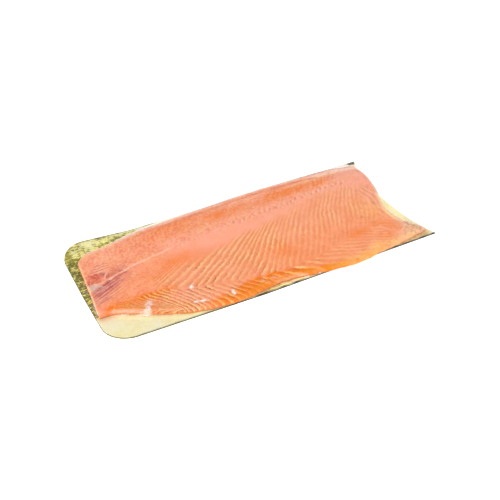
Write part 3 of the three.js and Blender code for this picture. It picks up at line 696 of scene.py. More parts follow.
    # painted reflection: a pale greenish-white tint of the foil beside the belly edge on the tail half
    painted_pale_reflection = np.exp(-((belly - py - 1) / 8) ** 2) * band(px, -190, -104, 26)
    attribute(o, "painted_pale_reflection", np.clip(painted_pale_reflection, 0, 1) * upper)
    attribute(o, "painted_edge_shade", np.clip(painted_edge_shade, 0, 1) * upper)
    o.data.polygons.foreach_set("use_smooth", [True] * len(o.data.polygons))
    sharp = o.data.attributes.new("sharp_edge", "BOOLEAN", "EDGE")
    rim = set(int(a) for a in index) | set(int(a) + n for a in index)
    flags = []
    for ed in o.data.edges:
        a, b = ed.vertices
        flags.append(a in rim and b in rim)
    sharp.data.foreach_set("value", flags)
    return o


# ============================================================================
# Film
# ============================================================================
def film_edge(i, j, nu, nv, fx, fy):
    """Where the film's outline lies for a grid place beyond the fish's grid, walking round the board's outline."""
    ci, cj = min(max(i, 0), nu), min(max(j, 0), nv)
    a, b = abs(i - ci), abs(j - cj)
    sy = -1 if j < 0 else 1
    half = W / 2
    if b == 0:
        return (float(board_tail(fy)) if i < 0 else max(float(board_head(fy)), fx + 1.2)), fy
    side = min(-float(board_side(fx)), fy - 1.2) if sy < 0 else float(board_side(fx))
    if a == 0:
        return fx, side
    t = 0.5 if a == b else (0.5 * b / a if a > b else 1 - 0.5 * a / b)
    if i < 0:
        straight = half - CORNER - abs(fy)
        centre = -TAIL + CORNER
        last = math.acos(min(max((centre - fx) / CORNER, 0), 1))
        gone = t * (max(0, straight) + last * CORNER) - max(0, straight)
        if gone < 0:
            return -TAIL, sy * (half - CORNER + gone)
        angle = gone / CORNER
        return centre - CORNER * math.cos(angle), sy * (half - CORNER + CORNER * math.sin(angle))
    if t < 0.5:
        y = mix(fy, sy * half, t * 2)
        return float(board_head(y)), y
    return mix(HEAD, fx, t * 2 - 1), mix(sy * half, side, t * 2 - 1)


# Places where the film has let go of what it covers, each with a painted glint, a milky white patch on the film:
# x, y, half length, half width, turn in degrees, height in mm, haze (how white the painted glint is).
POCKETS_WITH_GLINTS = [
    (-111.0, -60.0, 4.0, 2.8, 60, 0.9, 1.0),
    (-68.0, -89.0, 4.2, 3.2, 65, 0.9, 1.0),
    (-117.5, -85.2, 4.2, 1.9, -10, 0.8, 1.0),
    (-107.0, -87.5, 5.8, 1.9, -14, 0.8, 1.0),
    (-168.0, -61.0, 7.0, 4.6, 50, 0.8, 0.62),
    (-173.5, -66.5, 6.5, 4.6, 35, 0.9, 0.74),
    (-178.0, -70.0, 9.0, 2.2, -24, 0.4, 0.66),
    (-203.0, -57.5, 8.0, 1.7, -24, 0.4, 0.56),
    (-148.0, 71.0, 8.0, 3.0, 16, 0.7, 0.6),
    (-116.0, 76.0, 12.0, 2.4, 8, 0.5, 0.45),
    (13.0, -96.5, 3.2, 1.8, -20, 0.2, 0.6),
    (32.0, -98.6, 4.6, 1.5, -8, 0.2, 0.7),
    (50.0, -100.4, 4.0, 1.2, -5, 0.1, 0.5),
]


def make_film():
    us = graded([0, 0.8, 1.9, 3.6], 320, [0, 1.0, 2.4, 4.4, 7], 440)
    vs = graded([0, 0.7, 1.8, 3.6], 140, [0, 0.8, 2.0, 4.0, 6.6, 9.6], 165)
    nu, nv = len(us) - 1, len(vs) - 1
    u, v = np.meshgrid(us, vs, indexing="ij")
    x, y = fish_plan(u, v)
    z = board_top(x, y) + GAP + flesh(x, v, u)
    inner = ease(np.minimum(u * 440, (1 - u) * 430) / 8) * ease(np.minimum(v, 1 - v) * 165 / 7)
    z = z + inner * (0.45 * noise(x, y, 34, 51) + 0.14 * noise(x, y, 12, 52))
    # normals of the height field, used to stand off from the flesh
    P = np.stack([x, y, z], -1)
    du = np.gradient(P, axis=0)
    dv = np.gradient(P, axis=1)
    nrm = np.cross(du, dv)
    nrm /= np.linalg.norm(nrm, axis=-1, keepdims=True)
    # at the outline the film turns over the edge
    for sl, d in (((0, slice(None)), (-1, 0)), ((-1, slice(None)), (1, 0)), ((slice(None), 0), (0, -1)), ((slice(None), -1), (0, 1))):
        nrm[sl][..., 0] += d[0] * 0.9
        nrm[sl][..., 1] += d[1] * 0.9
    nrm /= np.linalg.norm(nrm, axis=-1, keepdims=True)
    K = 16
    off = 0.42
    core = P + nrm * off
    full = np.zeros((nu + 1 + 2 * K, nv + 1 + 2 * K, 3))
    air_haze_and_glints = np.zeros(full.shape[:2])
    full[K:K + nu + 1, K:K + nv + 1] = core
    shape = [0.0, 0.035, 0.08, 0.13, 0.185, 0.245, 0.31, 0.38, 0.45, 0.525, 0.6, 0.675, 0.75, 0.82, 0.885, 0.945, 1.0]
    for I in range(nu + 1 + 2 * K):
        for J in range(nv + 1 + 2 * K):
            i, j = I - K, J - K
            ci, cj = min(max(i, 0), nu), min(max(j, 0), nv)
            ring = max(abs(i - ci), abs(j - cj))
            if ring == 0:
                continue
            b = core[ci, cj]
            a_, b_ = abs(i - ci), abs(j - cj)
            ii, jj = i, j
            ex, ey = film_edge(ii, jj, nu, nv, float(P[ci, cj, 0]), float(P[ci, cj, 1]))
            reach = math.hypot(ex - b[0], ey - b[1])
            t = shape[ring]
            px, py = mix(b[0], ex, t), mix(b[1], ey, t)
            far = j > nv and b_ >= a_
            # how far from the fish the film reaches the board
            taut = float(ease((b[0] + 135) / 45)) if far else 0.0
            foot = min(reach, mix(4.0 + 2.0 * float(noise(b[0], b[1], 11, 81)), reach * 1.0, taut))
            if i > nu:
                foot = min(reach, mix(foot, 7.5 + 2.0 * float(noise(b[0], b[1], 9, 82)), 0.8))
            d = t * reach
            q = min(1.0, d / max(foot, 1e-6))
            fall = (1 - q) ** mix(1.9, 1.05, taut)
            ground = float(board_top(px, py)) + 0.22
            full[I, J] = (px, py, mix(ground, b[2], fall))
            air_haze_and_glints[I, J] = (0.03 + 0.3 * taut) * (1 - q) ** 0.5 + 0.015
            if far:
                air_haze_and_glints[I, J] += 0.5 * float(ease((b[0] - 140) / 30)) * float(ease((218 - b[0]) / 10))
    X, Y, Z = full[..., 0], full[..., 1], full[..., 2]
    outside = np.ones(X.shape)
    outside[K:K + nu + 1, K:K + nv + 1] = 0
    # wrinkles where the film is gathered: round the outline and at the belly flap
    edge = np.ones(X.shape)
    flap = blob(X, Y, 214, -78, 20, 20) + 0.3 * blob(X, Y, 206, -44, 8, 22) + 0.4 * blob(X, Y, 185, -98, 26, 4)
    creases = np.abs(noise(X * 0.55 + Y * 0.9, Y * 0.35 - X * 0.2, 3.4, 83))
    creases2 = np.abs(noise(X * 0.8 - Y * 0.5, Y * 0.5 + X * 0.6, 4.3, 84))
    Z = Z + np.clip(flap, 0, 1) * (1.1 * (0.55 - creases) + 0.7 * (0.5 - creases2))
    air_haze_and_glints = air_haze_and_glints + np.clip(flap, 0, 1) * np.clip(1 - 4.2 * creases, 0, 1) * 0.5 + 0.1 * np.clip(flap, 0, 1)
    out_w = outside * band(Z - board_top(X, Y), 0.0, 30, 0.4)
    Z = Z + outside * 0.10 * (noise(X, Y, 5, 85) + 1)
    # each pocket lifts the film and gets a painted glint: a milky white patch on the film
    for cx, cy, rx, ry, turn, height, haze_and_glint in POCKETS_WITH_GLINTS:
        g = blob(X, Y, cx, cy, rx, ry, turn)
        ragged = np.clip(0.75 + 0.6 * noise(X, Y, 2.3, 86) + 0.3 * noise(X, Y, 5.0, 87), 0, 1.3)
        Z = Z + height * g * ragged
        air_haze_and_glints = np.maximum(air_haze_and_glints, haze_and_glint * np.clip(2.1 * g * ragged - 0.3, 0, 1))
    # tiny pits and strings of air over the flesh
    Z = Z + (1 - outside) * 0.05 * noise(X, Y, 3.0, 88)
    floor = board_top(X, Y) + 0.16
    Z = np.where(outside > 0, np.maximum(Z, floor), Z)
    pts = np.stack([X, Y, Z], -1).reshape(-1, 3)
    o = new_mesh("clear_film", pts, grid_faces(nu + 2 * K, nv + 2 * K).tolist())
    attribute(o, "air_haze_and_glints", np.clip(air_haze_and_glints, 0, 1))
    attribute(o, "tan", np.clip(1.6 * blob(X, Y, 212, -80, 24, 20), 0, 1))
    return o


# ============================================================================
# Material helpers
# ============================================================================
class Nodes:
    def __init__(self, name):
        self.m = bpy.data.materials.new(name)
        self.m.use_nodes = True
        self.t = self.m.node_tree
        self.t.nodes.clear()

    def add(self, kind, **inputs):
        n = self.t.nodes.new(kind)
        return n

    def link(self, a, b):
        self.t.links.new(a, b)

    def put(self, socket, value):
        if isinstance(value, bpy.types.NodeSocket):
            self.link(value, socket)
        else:
            socket.default_value = value

    def attr(self, name):
        n = self.add("ShaderNodeAttribute")
        n.attribute_name = name
        return n.outputs["Fac"]

    def math(self, op, a, b=0.0, c=None, clamp=False):
        n = self.add("ShaderNodeMath")
        n.operation = op
        n.use_clamp = clamp
        self.put(n.inputs[0], a)
        self.put(n.inputs[1], b)
        if c is not None:
            self.put(n.inputs[2], c)
        return n.outputs[0]

    def mixc(self, a, b, fac, blend="MIX"):
        n = self.add("ShaderNodeMix")
        n.data_type = "RGBA"
        n.blend_type = blend
        n.clamp_factor = True
        self.put(n.inputs[0], fac)
        self.put(n.inputs[6], a if isinstance(a, bpy.types.NodeSocket) else (*a, 1.0))
        self.put(n.inputs[7], b if isinstance(b, bpy.types.NodeSocket) else (*b, 1.0))
        return n.outputs[2]

    def coords(self):
        return self.add("ShaderNodeTexCoord").outputs["Object"]

    def mapping(self, vector, scale=(1, 1, 1), turn=(0, 0, 0), move=(0, 0, 0)):
        n = self.add("ShaderNodeMapping")
        self.link(vector, n.inputs["Vector"])
        n.inputs["Scale"].default_value = scale
        n.inputs["Rotation"].default_value = turn
        n.inputs["Location"].default_value = move
        return n.outputs[0]

    def noise(self, vector, scale, detail=3.0, rough=0.55, distort=0.0):
        n = self.add("ShaderNodeTexNoise")
        self.link(vector, n.inputs["Vector"])
        n.inputs["Scale"].default_value = scale
        n.inputs["Detail"].default_value = detail
        n.inputs["Roughness"].default_value = rough
        n.inputs["Distortion"].default_value = distort
        return n.outputs["Fac"]

    def voronoi(self, vector, scale, feature="F1", out="Distance"):
        n = self.add("ShaderNodeTexVoronoi")
        n.feature = feature
        self.link(vector, n.inputs["Vector"])
        n.inputs["Scale"].default_value = scale
        return n.outputs[out]

    def add_xyz(self, vector, axis):
        n = self.add("ShaderNodeSeparateXYZ")
        self.link(vector, n.inputs[0])
        return n.outputs[axis]

    def span(self, value, a, b, c=0.0, d=1.0, smooth=True):
        n = self.add("ShaderNodeMapRange")
        n.interpolation_type = "SMOOTHSTEP" if smooth else "LINEAR"
        n.clamp = True
        self.put(n.inputs["Value"], value)
        n.inputs["From Min"].default_value = a
        n.inputs["From Max"].default_value = b
        n.inputs["To Min"].default_value = c
        n.inputs["To Max"].default_value = d
        return n.outputs["Result"]

    def bump(self, height, distance, strength=1.0, normal=None):
        n = self.add("ShaderNodeBump")
        self.link(height, n.inputs["Height"])
        n.inputs["Distance"].default_value = distance
        n.inputs["Strength"].default_value = strength
        if normal is not None:
            self.link(normal, n.inputs["Normal"])
        return n.outputs["Normal"]

    def out(self, shader):
        n = self.add("ShaderNodeOutputMaterial")
        self.link(shader, n.inputs["Surface"])
        return self.m


def srgb(r, g, b):
    def lin(c):
        c /= 255.0
        return c / 12.92 if c <= 0.04045 else ((c + 0.055) / 1.055) ** 2.4
    return lin(r), lin(g), lin(b)


# Colours of the flesh
FLESH_LOW, FLESH_HIGH, FLESH_WARM = srgb(241, 152, 112), srgb(248, 163, 124), srgb(240, 138, 84)
FLESH_PINK, FLESH_DEEP = srgb(250, 170, 143), srgb(241, 122, 22)
FLESH_RED, FLESH_TAN = srgb(238, 122, 88), srgb(240, 158, 100)
SEAM_PALE, SEAM_DARK, SEAM_LOW = srgb(252, 203, 142), srgb(178, 92, 50), srgb(218, 130, 78)
SEAM_WARM, LOW_WARM, AMBER_DARK = srgb(255, 198, 118), srgb(212, 108, 10), srgb(196, 96, 4)
BLOOD, BRUISE, GREY_FAT = srgb(200, 78, 58), srgb(188, 86, 92), srgb(210, 176, 164)
DARK_MARK, PALE_MARK, BONE_DOT = srgb(158, 74, 70), srgb(255, 206, 180), srgb(186, 98, 56)
FRINGE, FRINGE_GOLD, CREAM_FAT = srgb(232, 126, 4), srgb(230, 148, 22), srgb(252, 206, 138)
RIM_FAT, SKIRT, HEM = srgb(240, 206, 190), srgb(214, 124, 88), srgb(196, 136, 118)
RIM_WHITE, RIDGE = srgb(250, 220, 204), srgb(200, 150, 132)
COLLAR_FAT, COLLAR_LOW = srgb(250, 200, 184), srgb(250, 216, 164)
TIP_PALE, TIP_BROWN = srgb(248, 206, 176), srgb(200, 150, 112)
CUT_EDGE, CUT_LOW, NEAR_WALL_SHADE = srgb(250, 192, 140), srgb(216, 138, 66), srgb(196, 124, 44)
SKIN_PALE, SKIN_DARK = srgb(150, 152, 146), srgb(96, 100, 98)
SPECK_PALE, SPECK_DARK = srgb(255, 212, 178), srgb(224, 112, 66)
MOTTLE_DARK, MOTTLE_PALE, OLIVE = srgb(222, 116, 72), srgb(255, 196, 158), srgb(246, 192, 112)


def flesh_material():
    n = Nodes("smoked_flesh")
    at = n.coords()
    A = {k: n.attr(k) for k in ("phase", "stripe", "shade", "deep", "pink", "bruise", "red", "grey", "dark", "pale",
                                "dots", "rim", "collar", "cut", "fringe", "belly_sheen", "cream", "wall", "cutface", "skinface", "nearface", "skirt",
                                "hem", "tip", "olive", "grain", "ridge", "streaks")}
    broad = n.noise(at, 55, 3, 0.5)
    mid = n.noise(at, 160, 4, 0.55, 0.4)
    fine = n.noise(at, 620, 4, 0.6)
    # fibres: short streaks along the muscle
    fibre_at = n.mapping(at, (260, 900, 400), (0, 0, math.radians(-28)))
    fibre = n.noise(fibre_at, 1.0, 3, 0.6)

    base = n.mixc(FLESH_LOW, FLESH_HIGH, n.span(broad, 0.35, 0.68))
    base = n.mixc(base, FLESH_WARM, n.math("MULTIPLY", n.span(mid, 0.48, 0.74), 0.45))
    mottle = n.noise(n.mapping(at, (1, 1, 1), (0, 0, 0.7), (0.11, 0.43, 0)), 300, 3, 0.62, 0.5)
    col = n.mixc(base, FLESH_PINK, n.math("MULTIPLY", A["pink"], 0.9))
    blotch = n.noise(n.mapping(at, (1, 1.5, 1), (0, 0, 0.3), (0.07, 0.21, 0)), 72, 3, 0.6, 0.5)
    col = n.mixc(col, FLESH_RED, n.math("MULTIPLY", n.math("MULTIPLY", n.span(blotch, 0.5, 0.68), A["grain"]), 0.42))
    col = n.mixc(col, FLESH_TAN, n.math("MULTIPLY", n.math("MULTIPLY", n.span(blotch, 0.5, 0.36), A["grain"]), 0.5))
    col = n.mixc(col, FLESH_RED, n.math("MULTIPLY", A["streaks"], 0.5))
    col = n.mixc(col, FLESH_DEEP, n.math("MULTIPLY", A["deep"], 0.86))

    # seams between muscle blocks, from the phase: a pale line with darker flesh on its lower side
    wobble = n.math("MULTIPLY", n.math("SUBTRACT", n.noise(at, 240, 3, 0.55), 0.5), 0.55)
    ph = n.math("ADD", A["phase"], wobble)
    k = n.math("FRACT", ph)
    d = n.math("ABSOLUTE", n.math("SUBTRACT", k, 0.5))
    line = n.span(d, 0.05, 0.27, 1.0, 0.0)
    trough = n.span(d, 0.26, 0.46)
    k2 = n.math("FRACT", n.math("ADD", ph, 0.27))
    d2 = n.math("ABSOLUTE", n.math("SUBTRACT", k2, 0.5))
    dim = n.span(d2, 0.04, 0.24, 1.0, 0.0)
    k3 = n.math("FRACT", n.math("ADD", ph, 0.52))
    d3 = n.math("ABSOLUTE", n.math("SUBTRACT", k3, 0.5))
    thin = n.span(d3, 0.02, 0.13, 1.0, 0.0)
    broken = n.span(n.noise(at, 330, 3, 0.6), 0.3, 0.6, 0.35, 1.0)
    broken2 = n.span(n.noise(n.mapping(at, (1, 1, 1), (0, 0, 0), (0.31, 0.17, 0)), 300, 3, 0.6), 0.34, 0.62, 0.15, 1.0)
    w_line = n.math("MULTIPLY", n.math("MULTIPLY", line, A["stripe"]), broken)
    w_dim = n.math("MULTIPLY", n.math("MULTIPLY", n.math("MULTIPLY", dim, A["stripe"]), A["shade"]), broken2)
    w_thin = n.math("MULTIPLY", n.math("MULTIPLY", n.math("MULTIPLY", thin, A["stripe"]), broken2), 0.16)
    w_trough = n.math("MULTIPLY", n.math("MULTIPLY", trough, A["stripe"]), 0.62)
    warm = n.math("MULTIPLY", A["deep"], 0.75)
    seam_c = n.mixc(SEAM_PALE, SEAM_WARM, warm)
    col = n.mixc(col, n.mixc(SEAM_LOW, LOW_WARM, warm), w_trough)
    col = n.mixc(col, n.mixc(SEAM_DARK, AMBER_DARK, warm), n.math("MULTIPLY", w_dim, 0.8))
    col = n.mixc(col, seam_c, w_thin)
    col = n.mixc(col, seam_c, w_line)

    # tail end: blood, bruise and exposed fat
    blood = n.mixc(BLOOD, srgb(216, 106, 86), n.span(mottle, 0.44, 0.62))
    col = n.mixc(col, blood, n.math("MULTIPLY", A["red"], n.span(mid, 0.25, 0.6, 0.7, 1.0)))
    col = n.mixc(col, BRUISE, n.math("MULTIPLY", A["bruise"], n.span(fine, 0.25, 0.7, 0.85, 1.0)))
    col = n.mixc(col, GREY_FAT, n.math("MULTIPLY", A["grey"], n.span(mid, 0.2, 0.75, 0.75, 1.0)))
    col = n.mixc(col, DARK_MARK, n.math("MULTIPLY", A["dark"], 0.85))
    col = n.mixc(col, PALE_MARK, n.math("MULTIPLY", A["pale"], 0.9))
    col = n.mixc(col, BONE_DOT, n.math("MULTIPLY", A["dots"], 0.6))

    # fat and skin at the outline
    east = n.span(n.add_xyz(at, "X"), 0.02, 0.09, 0.25, 1.0)
    golden = n.mixc(FRINGE, FRINGE_GOLD, n.math("MULTIPLY", east, n.span(n.noise(n.mapping(at, (1, 3, 1), (0, 0, 0.1)), 90, 3, 0.6), 0.38, 0.6)))
    col = n.mixc(col, golden, n.math("MULTIPLY", A["fringe"], n.math("SUBTRACT", 0.95, n.math("MULTIPLY", w_line, 0.55))))
    col = n.mixc(col, SKIRT, n.math("MULTIPLY", A["skirt"], 0.85))
    tip_c = n.mixc(TIP_PALE, TIP_BROWN, n.span(n.noise(n.mapping(at, (1.6, 1, 1), (0, 0, 0.9)), 190, 3, 0.65), 0.4, 0.62))
    col = n.mixc(col, tip_c, n.math("MULTIPLY", A["tip"], n.span(mid, 0.3, 0.6, 0.6, 0.95)))
    col = n.mixc(col, CREAM_FAT, n.math("MULTIPLY", A["cream"], n.span(mid, 0.3, 0.65, 0.35, 0.8)))
    rim_c = n.mixc(RIM_FAT, RIM_WHITE, n.span(n.add_xyz(at, "X"), 0.0, 0.05))
    col = n.mixc(col, rim_c, n.math("MULTIPLY", A["rim"], n.span(mid, 0.3, 0.7, 0.65, 1.0)))
    col = n.mixc(col, RIDGE, n.math("MULTIPLY", A["ridge"], 0.9))
    low = n.span(n.math("ADD", n.add_xyz(at, "Y"), 0.0), -0.012, 0.004)
    col = n.mixc(col, n.mixc(COLLAR_LOW, COLLAR_FAT, low), n.math("MULTIPLY", A["collar"], n.span(mid, 0.3, 0.7, 0.7, 1.0)))
    col = n.mixc(col, HEM, n.math("MULTIPLY", A["hem"], 0.75))
    col = n.mixc(col, CUT_EDGE, n.math("MULTIPLY", A["cut"], 0.85))
    # painted sheen along the belly edge
    col = n.mixc(col, RIM_FAT, n.math("MULTIPLY", A["belly_sheen"], 0.55))
    cut_t = n.math("MULTIPLY", A["cutface"], n.span(A["wall"], 0.0, 0.1))
    cut_c = n.mixc(CUT_EDGE, CUT_LOW, n.span(A["wall"], 0.2, 0.75))
    col = n.mixc(col, cut_c, cut_t)
    # painted shade: the near side wall goes darker and browner towards its foot
    near_c = n.mixc(FLESH_DEEP, NEAR_WALL_SHADE, n.span(A["wall"], 0.35, 0.95))
    col = n.mixc(col, near_c, n.math("MULTIPLY", A["nearface"], n.span(A["wall"], 0.0, 0.2, 0.0, 0.85)))
    skin = n.mixc(SKIN_PALE, SKIN_DARK, n.span(mid, 0.35, 0.65))
    col = n.mixc(col, skin, n.math("MULTIPLY", n.span(A["wall"], 0.3, 0.62), A["skinface"]))

    col = n.mixc(col, OLIVE, n.math("MULTIPLY", A["olive"], n.span(mid, 0.3, 0.65, 0.35, 0.7)))

    # small scale unevenness
    col = n.mixc(col, MOTTLE_DARK, n.math("MULTIPLY", n.math("MULTIPLY", n.span(mottle, 0.5, 0.36), A["grain"]), 0.36))
    col = n.mixc(col, MOTTLE_PALE, n.math("MULTIPLY", n.math("MULTIPLY", n.span(mottle, 0.52, 0.68), A["grain"]), 0.34))
    col = n.mixc(col, SPECK_PALE, n.math("MULTIPLY", n.span(fine, 0.6, 0.85), 0.25))
    col = n.mixc(col, SPECK_DARK, n.math("MULTIPLY", n.span(fibre, 0.56, 0.86), 0.2))

    b = n.add("ShaderNodeBsdfPrincipled")
    n.link(col, b.inputs["Base Color"])
    n.link(n.span(mid, 0.2, 0.8, 0.34, 0.52), b.inputs["Roughness"])
    b.inputs["Subsurface Weight"].default_value = 0.08
    b.inputs["Subsurface Radius"].default_value = (1.0, 0.42, 0.22)
    b.inputs["Subsurface Scale"].default_value = 0.0014
    b.inputs["Specular IOR Level"].default_value = 0.08
    height = n.math("ADD", n.math("MULTIPLY", fibre, 0.5), n.math("MULTIPLY", fine, 0.7))
    height = n.math("ADD", height, n.math("MULTIPLY", w_line, -0.5))
    n.link(n.bump(height, 0.00022, 0.8), b.inputs["Normal"])
    return n.out(b.outputs[0])


def board_material():
    n = Nodes("gold_foil_card")
    at = n.coords()
    edge, tarnish_and_painted_shade, painted_shadow, painted_edge_shade, painted_reflection = n.attr("edge"), n.attr("tarnish_and_painted_shade"), n.attr("painted_shadow"), n.attr("painted_edge_shade"), n.attr("painted_reflection")
    pebble = n.noise(at, 190, 3, 0.6, 0.6)
    shards = n.voronoi(n.mapping(at, (1, 1.5, 1), (0, 0, 0.5)), 210)
    rolled = n.noise(n.mapping(at, (90, 260, 200)), 1.0, 3, 0.6)
    streak = n.noise(n.mapping(at, (150, 330, 200), (0, 0, -0.5)), 1.0, 4, 0.7, 0.6)
    broad = n.noise(at, 22, 2, 0.5)
    gold = n.mixc(srgb(255, 248, 204), srgb(252, 239, 176), n.span(pebble, 0.36, 0.64))
    gold = n.mixc(gold, srgb(255, 252, 226), n.math("MULTIPLY", n.span(broad, 0.42, 0.62), 0.55))
    gold = n.mixc(gold, srgb(240, 232, 168), n.math("MULTIPLY", n.span(rolled, 0.5, 0.72), 0.4))
    patch = n.math("ADD", n.math("MULTIPLY", streak, 0.6), n.math("MULTIPLY", pebble, 0.45))
    # darker olive foil, with dark patches and yellow specks, where tarnish and painted shade are marked
    dark_patches = n.span(n.math("ADD", patch, n.math("MULTIPLY", tarnish_and_painted_shade, 0.14)), 0.57, 0.7)
    dark_patches = n.math("MULTIPLY", dark_patches, n.span(tarnish_and_painted_shade, 0.05, 0.45))
    gold = n.mixc(gold, srgb(200, 190, 56), n.math("MULTIPLY", tarnish_and_painted_shade, 0.95))
    gold = n.mixc(gold, srgb(255, 248, 140), n.math("MULTIPLY", n.span(tarnish_and_painted_shade, 0.1, 0.5), n.span(patch, 0.5, 0.42)))
    gold = n.mixc(gold, srgb(104, 96, 8), n.math("MULTIPLY", dark_patches, 0.92))
    # painted shadow: browner gold where the fish shades the foil
    shadowed_gold = n.mixc(srgb(200, 150, 54), srgb(250, 228, 128), n.span(patch, 0.56, 0.46))
    gold = n.mixc(gold, shadowed_gold, n.math("MULTIPLY", painted_shadow, 0.9))
    # painted reflection: a pale greenish-white tint beside the belly edge
    gold = n.mixc(gold, srgb(230, 254, 228), n.math("MULTIPLY", n.attr("painted_pale_reflection"), n.span(pebble, 0.3, 0.7, 0.75, 1.0)))
    # painted shade: a dark band along the foil's cut edge
    gold = n.mixc(gold, srgb(54, 52, 28), painted_edge_shade)
    # the card's cut edge is near black: dark card, made darker as painted shade under the board's rim
    card = n.mixc(srgb(30, 28, 18), srgb(10, 10, 7), n.span(n.noise(n.mapping(at, (300, 300, 2400)), 1.0, 3, 0.7), 0.35, 0.65))
    foil = n.add("ShaderNodeBsdfPrincipled")
    n.link(gold, foil.inputs["Base Color"])
    foil.inputs["Metallic"].default_value = 0.55
    n.link(n.math("SUBTRACT", n.span(pebble, 0.25, 0.75, 0.36, 0.48), n.math("MULTIPLY", tarnish_and_painted_shade, 0.12)), foil.inputs["Roughness"])
    height = n.math("ADD", n.math("MULTIPLY", pebble, 1.0), n.math("MULTIPLY", shards, 0.5))
    height = n.math("ADD", height, n.math("MULTIPLY", rolled, 0.5))
    n.link(n.bump(height, 0.0009, 0.4), foil.inputs["Normal"])
    # painted reflection: the foil gives off a little yellow light in the marked strips, less where edge shade or shadow
    # is painted
    shine = n.math("MULTIPLY", n.math("SUBTRACT", 1.0, painted_edge_shade), n.math("SUBTRACT", 1.0, n.math("MULTIPLY", painted_shadow, 0.75)))
    n.link(n.mixc((0, 0, 0), srgb(255, 240, 132), n.math("MULTIPLY", painted_reflection, shine)), foil.inputs["Emission Color"])
    foil.inputs["Emission Strength"].default_value = 0.42
    body = n.add("ShaderNodeBsdfPrincipled")
    n.link(card, body.inputs["Base Color"])
    body.inputs["Roughness"].default_value = 0.75
    m = n.add("ShaderNodeMixShader")
    n.link(n.span(edge, 0.3, 0.7), m.inputs[0])
    n.link(foil.outputs[0], m.inputs[1])
    n.link(body.outputs[0], m.inputs[2])
    return n.out(m.outputs[0])


def film_material():
    n = Nodes("clear_vacuum_film")
    at = n.coords()
    air_haze_and_glints = n.attr("air_haze_and_glints")
    ripple = n.noise(at, 150, 3, 0.6, 0.3)
    grain = n.noise(at, 700, 2, 0.5)
    height = n.math("ADD", ripple, n.math("MULTIPLY", grain, 0.25))
    bump = n.bump(height, 0.00035, 0.5)
    clear = n.add("ShaderNodeBsdfTransparent")
    clear.inputs[0].default_value = (0.995, 0.995, 0.995, 1)
    gloss = n.add("ShaderNodeBsdfGlossy")
    gloss.inputs["Color"].default_value = (1, 1, 1, 1)
    gloss.inputs["Roughness"].default_value = 0.12
    n.link(bump, gloss.inputs["Normal"])
    slant = n.add("ShaderNodeLayerWeight")
    slant.inputs["Blend"].default_value = 0.5
    n.link(bump, slant.inputs["Normal"])
    # the same from above and from below: little of it head on, most of it at a grazing look
    mirror = n.math("ADD", n.math("MULTIPLY", n.math("POWER", slant.outputs["Facing"], 5.0), 0.9), 0.018)
    skin = n.add("ShaderNodeMixShader")
    n.link(mirror, skin.inputs[0])
    n.link(clear.outputs[0], skin.inputs[1])
    n.link(gloss.outputs[0], skin.inputs[2])
    # a milky white layer where air lifts the film; at the pockets it is a painted glint
    haze_and_glint = n.add("ShaderNodeBsdfPrincipled")
    milk = n.mixc(srgb(255, 246, 224), srgb(252, 226, 222), n.span(ripple, 0.35, 0.65))
    gathered = n.mixc(srgb(250, 226, 196), srgb(196, 164, 150), n.span(ripple, 0.42, 0.58))
    n.link(n.mixc(milk, gathered, n.attr("tan")), haze_and_glint.inputs["Base Color"])
    haze_and_glint.inputs["Roughness"].default_value = 0.25
    haze_and_glint.inputs["Specular IOR Level"].default_value = 0.8
    n.link(bump, haze_and_glint.inputs["Normal"])
    m = n.add("ShaderNodeMixShader")
    n.link(n.math("MULTIPLY", air_haze_and_glints, n.span(grain, 0.2, 0.8, 0.75, 1.0)), m.inputs[0])
    n.link(skin.outputs[0], m.inputs[1])
    n.link(haze_and_glint.outputs[0], m.inputs[2])
    return n.out(m.outputs[0])


def floor_material():
    n = Nodes("pale_floor")
    at = n.coords()
    b = n.add("ShaderNodeBsdfPrincipled")
    n.link(n.mixc(srgb(250, 250, 250), srgb(252, 252, 251), n.noise(at, 6, 2)), b.inputs["Base Color"])
    b.inputs["Roughness"].default_value = 0.9
    b.inputs["Specular IOR Level"].default_value = 0.1
    b.inputs["Emission Color"].default_value = (1, 1, 1, 1)
    b.inputs["Emission Strength"].default_value = 0.5
    return n.out(b.outputs[0])


# ============================================================================
# Build
# ============================================================================
fish = make_fish()
fish.data.materials.append(flesh_material())
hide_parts("salmon_side")
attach(fish, "root")

board = make_board()
board.data.materials.append(board_material())
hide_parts("board")
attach(board, "root")

film = make_film()
film.data.materials.append(film_material())
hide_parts("film")
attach(film, "root")

# ---- stage -----------------------------------------------------------------
floor_mesh = bpy.data.meshes.new("studio_floor")
R = 6.0
floor_mesh.from_pydata([(-R, -R, -0.0002), (R, -R, -0.0002), (R, R, -0.0002), (-R, R, -0.0002)], [], [(0, 1, 2, 3)])
floor = bpy.data.objects.new("studio_floor", floor_mesh)
bpy.context.scene.collection.objects.link(floor)
floor_mesh.materials.append(floor_material())

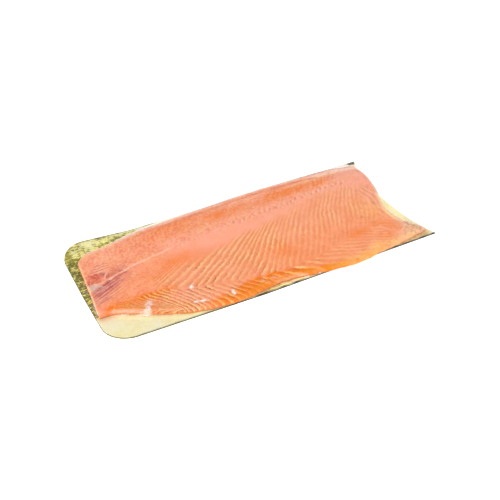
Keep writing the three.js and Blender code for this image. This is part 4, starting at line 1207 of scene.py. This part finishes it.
# ---- camera: 500 x 500 frame -----------------------------------------------
AZ, EL, DIST, F_PX = math.radians(27.96), math.radians(39.03), 1.1108, 838.2
target = Vector((-0.0059, -0.0145, 0.00075))
back = Vector((-math.sin(AZ) * math.cos(EL), -math.cos(AZ) * math.cos(EL), math.sin(EL)))
cam_data = bpy.data.cameras.new("camera")
cam_data.sensor_fit = "HORIZONTAL"
cam_data.sensor_width = 36.0
cam_data.lens = F_PX * 36.0 / 500.0
cam_data.clip_start, cam_data.clip_end = 0.01, 50
camera = bpy.data.objects.new("camera", cam_data)
camera.location = target + back * DIST
camera.rotation_mode = "QUATERNION"
camera.rotation_quaternion = (-back).to_track_quat("-Z", "Y")
bpy.context.scene.collection.objects.link(camera)
bpy.context.scene.camera = camera


# ---- light -----------------------------------------------------------------
def softbox(name, place, aim, size, power, colour=(1, 1, 1)):
    d = bpy.data.lights.new(name, "AREA")
    d.shape = "RECTANGLE"
    d.size, d.size_y = size
    d.energy = power
    d.color = colour
    o = bpy.data.objects.new(name, d)
    o.location = place
    o.rotation_mode = "QUATERNION"
    o.rotation_quaternion = (Vector(aim) - Vector(place)).to_track_quat("-Z", "Y")
    bpy.context.scene.collection.objects.link(o)
    return o


softbox("key", (-1.1, -1.0, 2.1), (0, 0, 0), (1.6, 1.6), 26)

# A white tent of light with one dark opening high behind the pack, which the foil mirrors.
world = bpy.data.worlds.new("studio")
bpy.context.scene.world = world
world.use_nodes = True
wt = world.node_tree
wt.nodes.clear()
gen = wt.nodes.new("ShaderNodeTexCoord")
dot = wt.nodes.new("ShaderNodeVectorMath")
dot.operation = "DOT_PRODUCT"
OPEN_AZ, OPEN_EL = math.radians(18), math.radians(71)
dot.inputs[1].default_value = (math.sin(OPEN_AZ) * math.cos(OPEN_EL), math.cos(OPEN_AZ) * math.cos(OPEN_EL), math.sin(OPEN_EL))
ramp = wt.nodes.new("ShaderNodeMapRange")
ramp.interpolation_type = "SMOOTHSTEP"
ramp.inputs["From Min"].default_value = math.cos(math.radians(24.5))
ramp.inputs["From Max"].default_value = math.cos(math.radians(19.0))
ramp.inputs["To Min"].default_value = 1.0
ramp.inputs["To Max"].default_value = 0.12
bg = wt.nodes.new("ShaderNodeBackground")
wo = wt.nodes.new("ShaderNodeOutputWorld")
wt.links.new(gen.outputs["Generated"], dot.inputs[0])
wt.links.new(dot.outputs["Value"], ramp.inputs["Value"])
wt.links.new(ramp.outputs["Result"], bg.inputs["Color"])
bg.inputs["Strength"].default_value = 0.9
wt.links.new(bg.outputs[0], wo.inputs[0])

bpy.context.scene.view_settings.view_transform = "Standard"
bpy.context.scene.view_settings.look = "None"
bpy.context.scene.view_settings.exposure = 0.0
bpy.context.scene.view_settings.gamma = 1.0
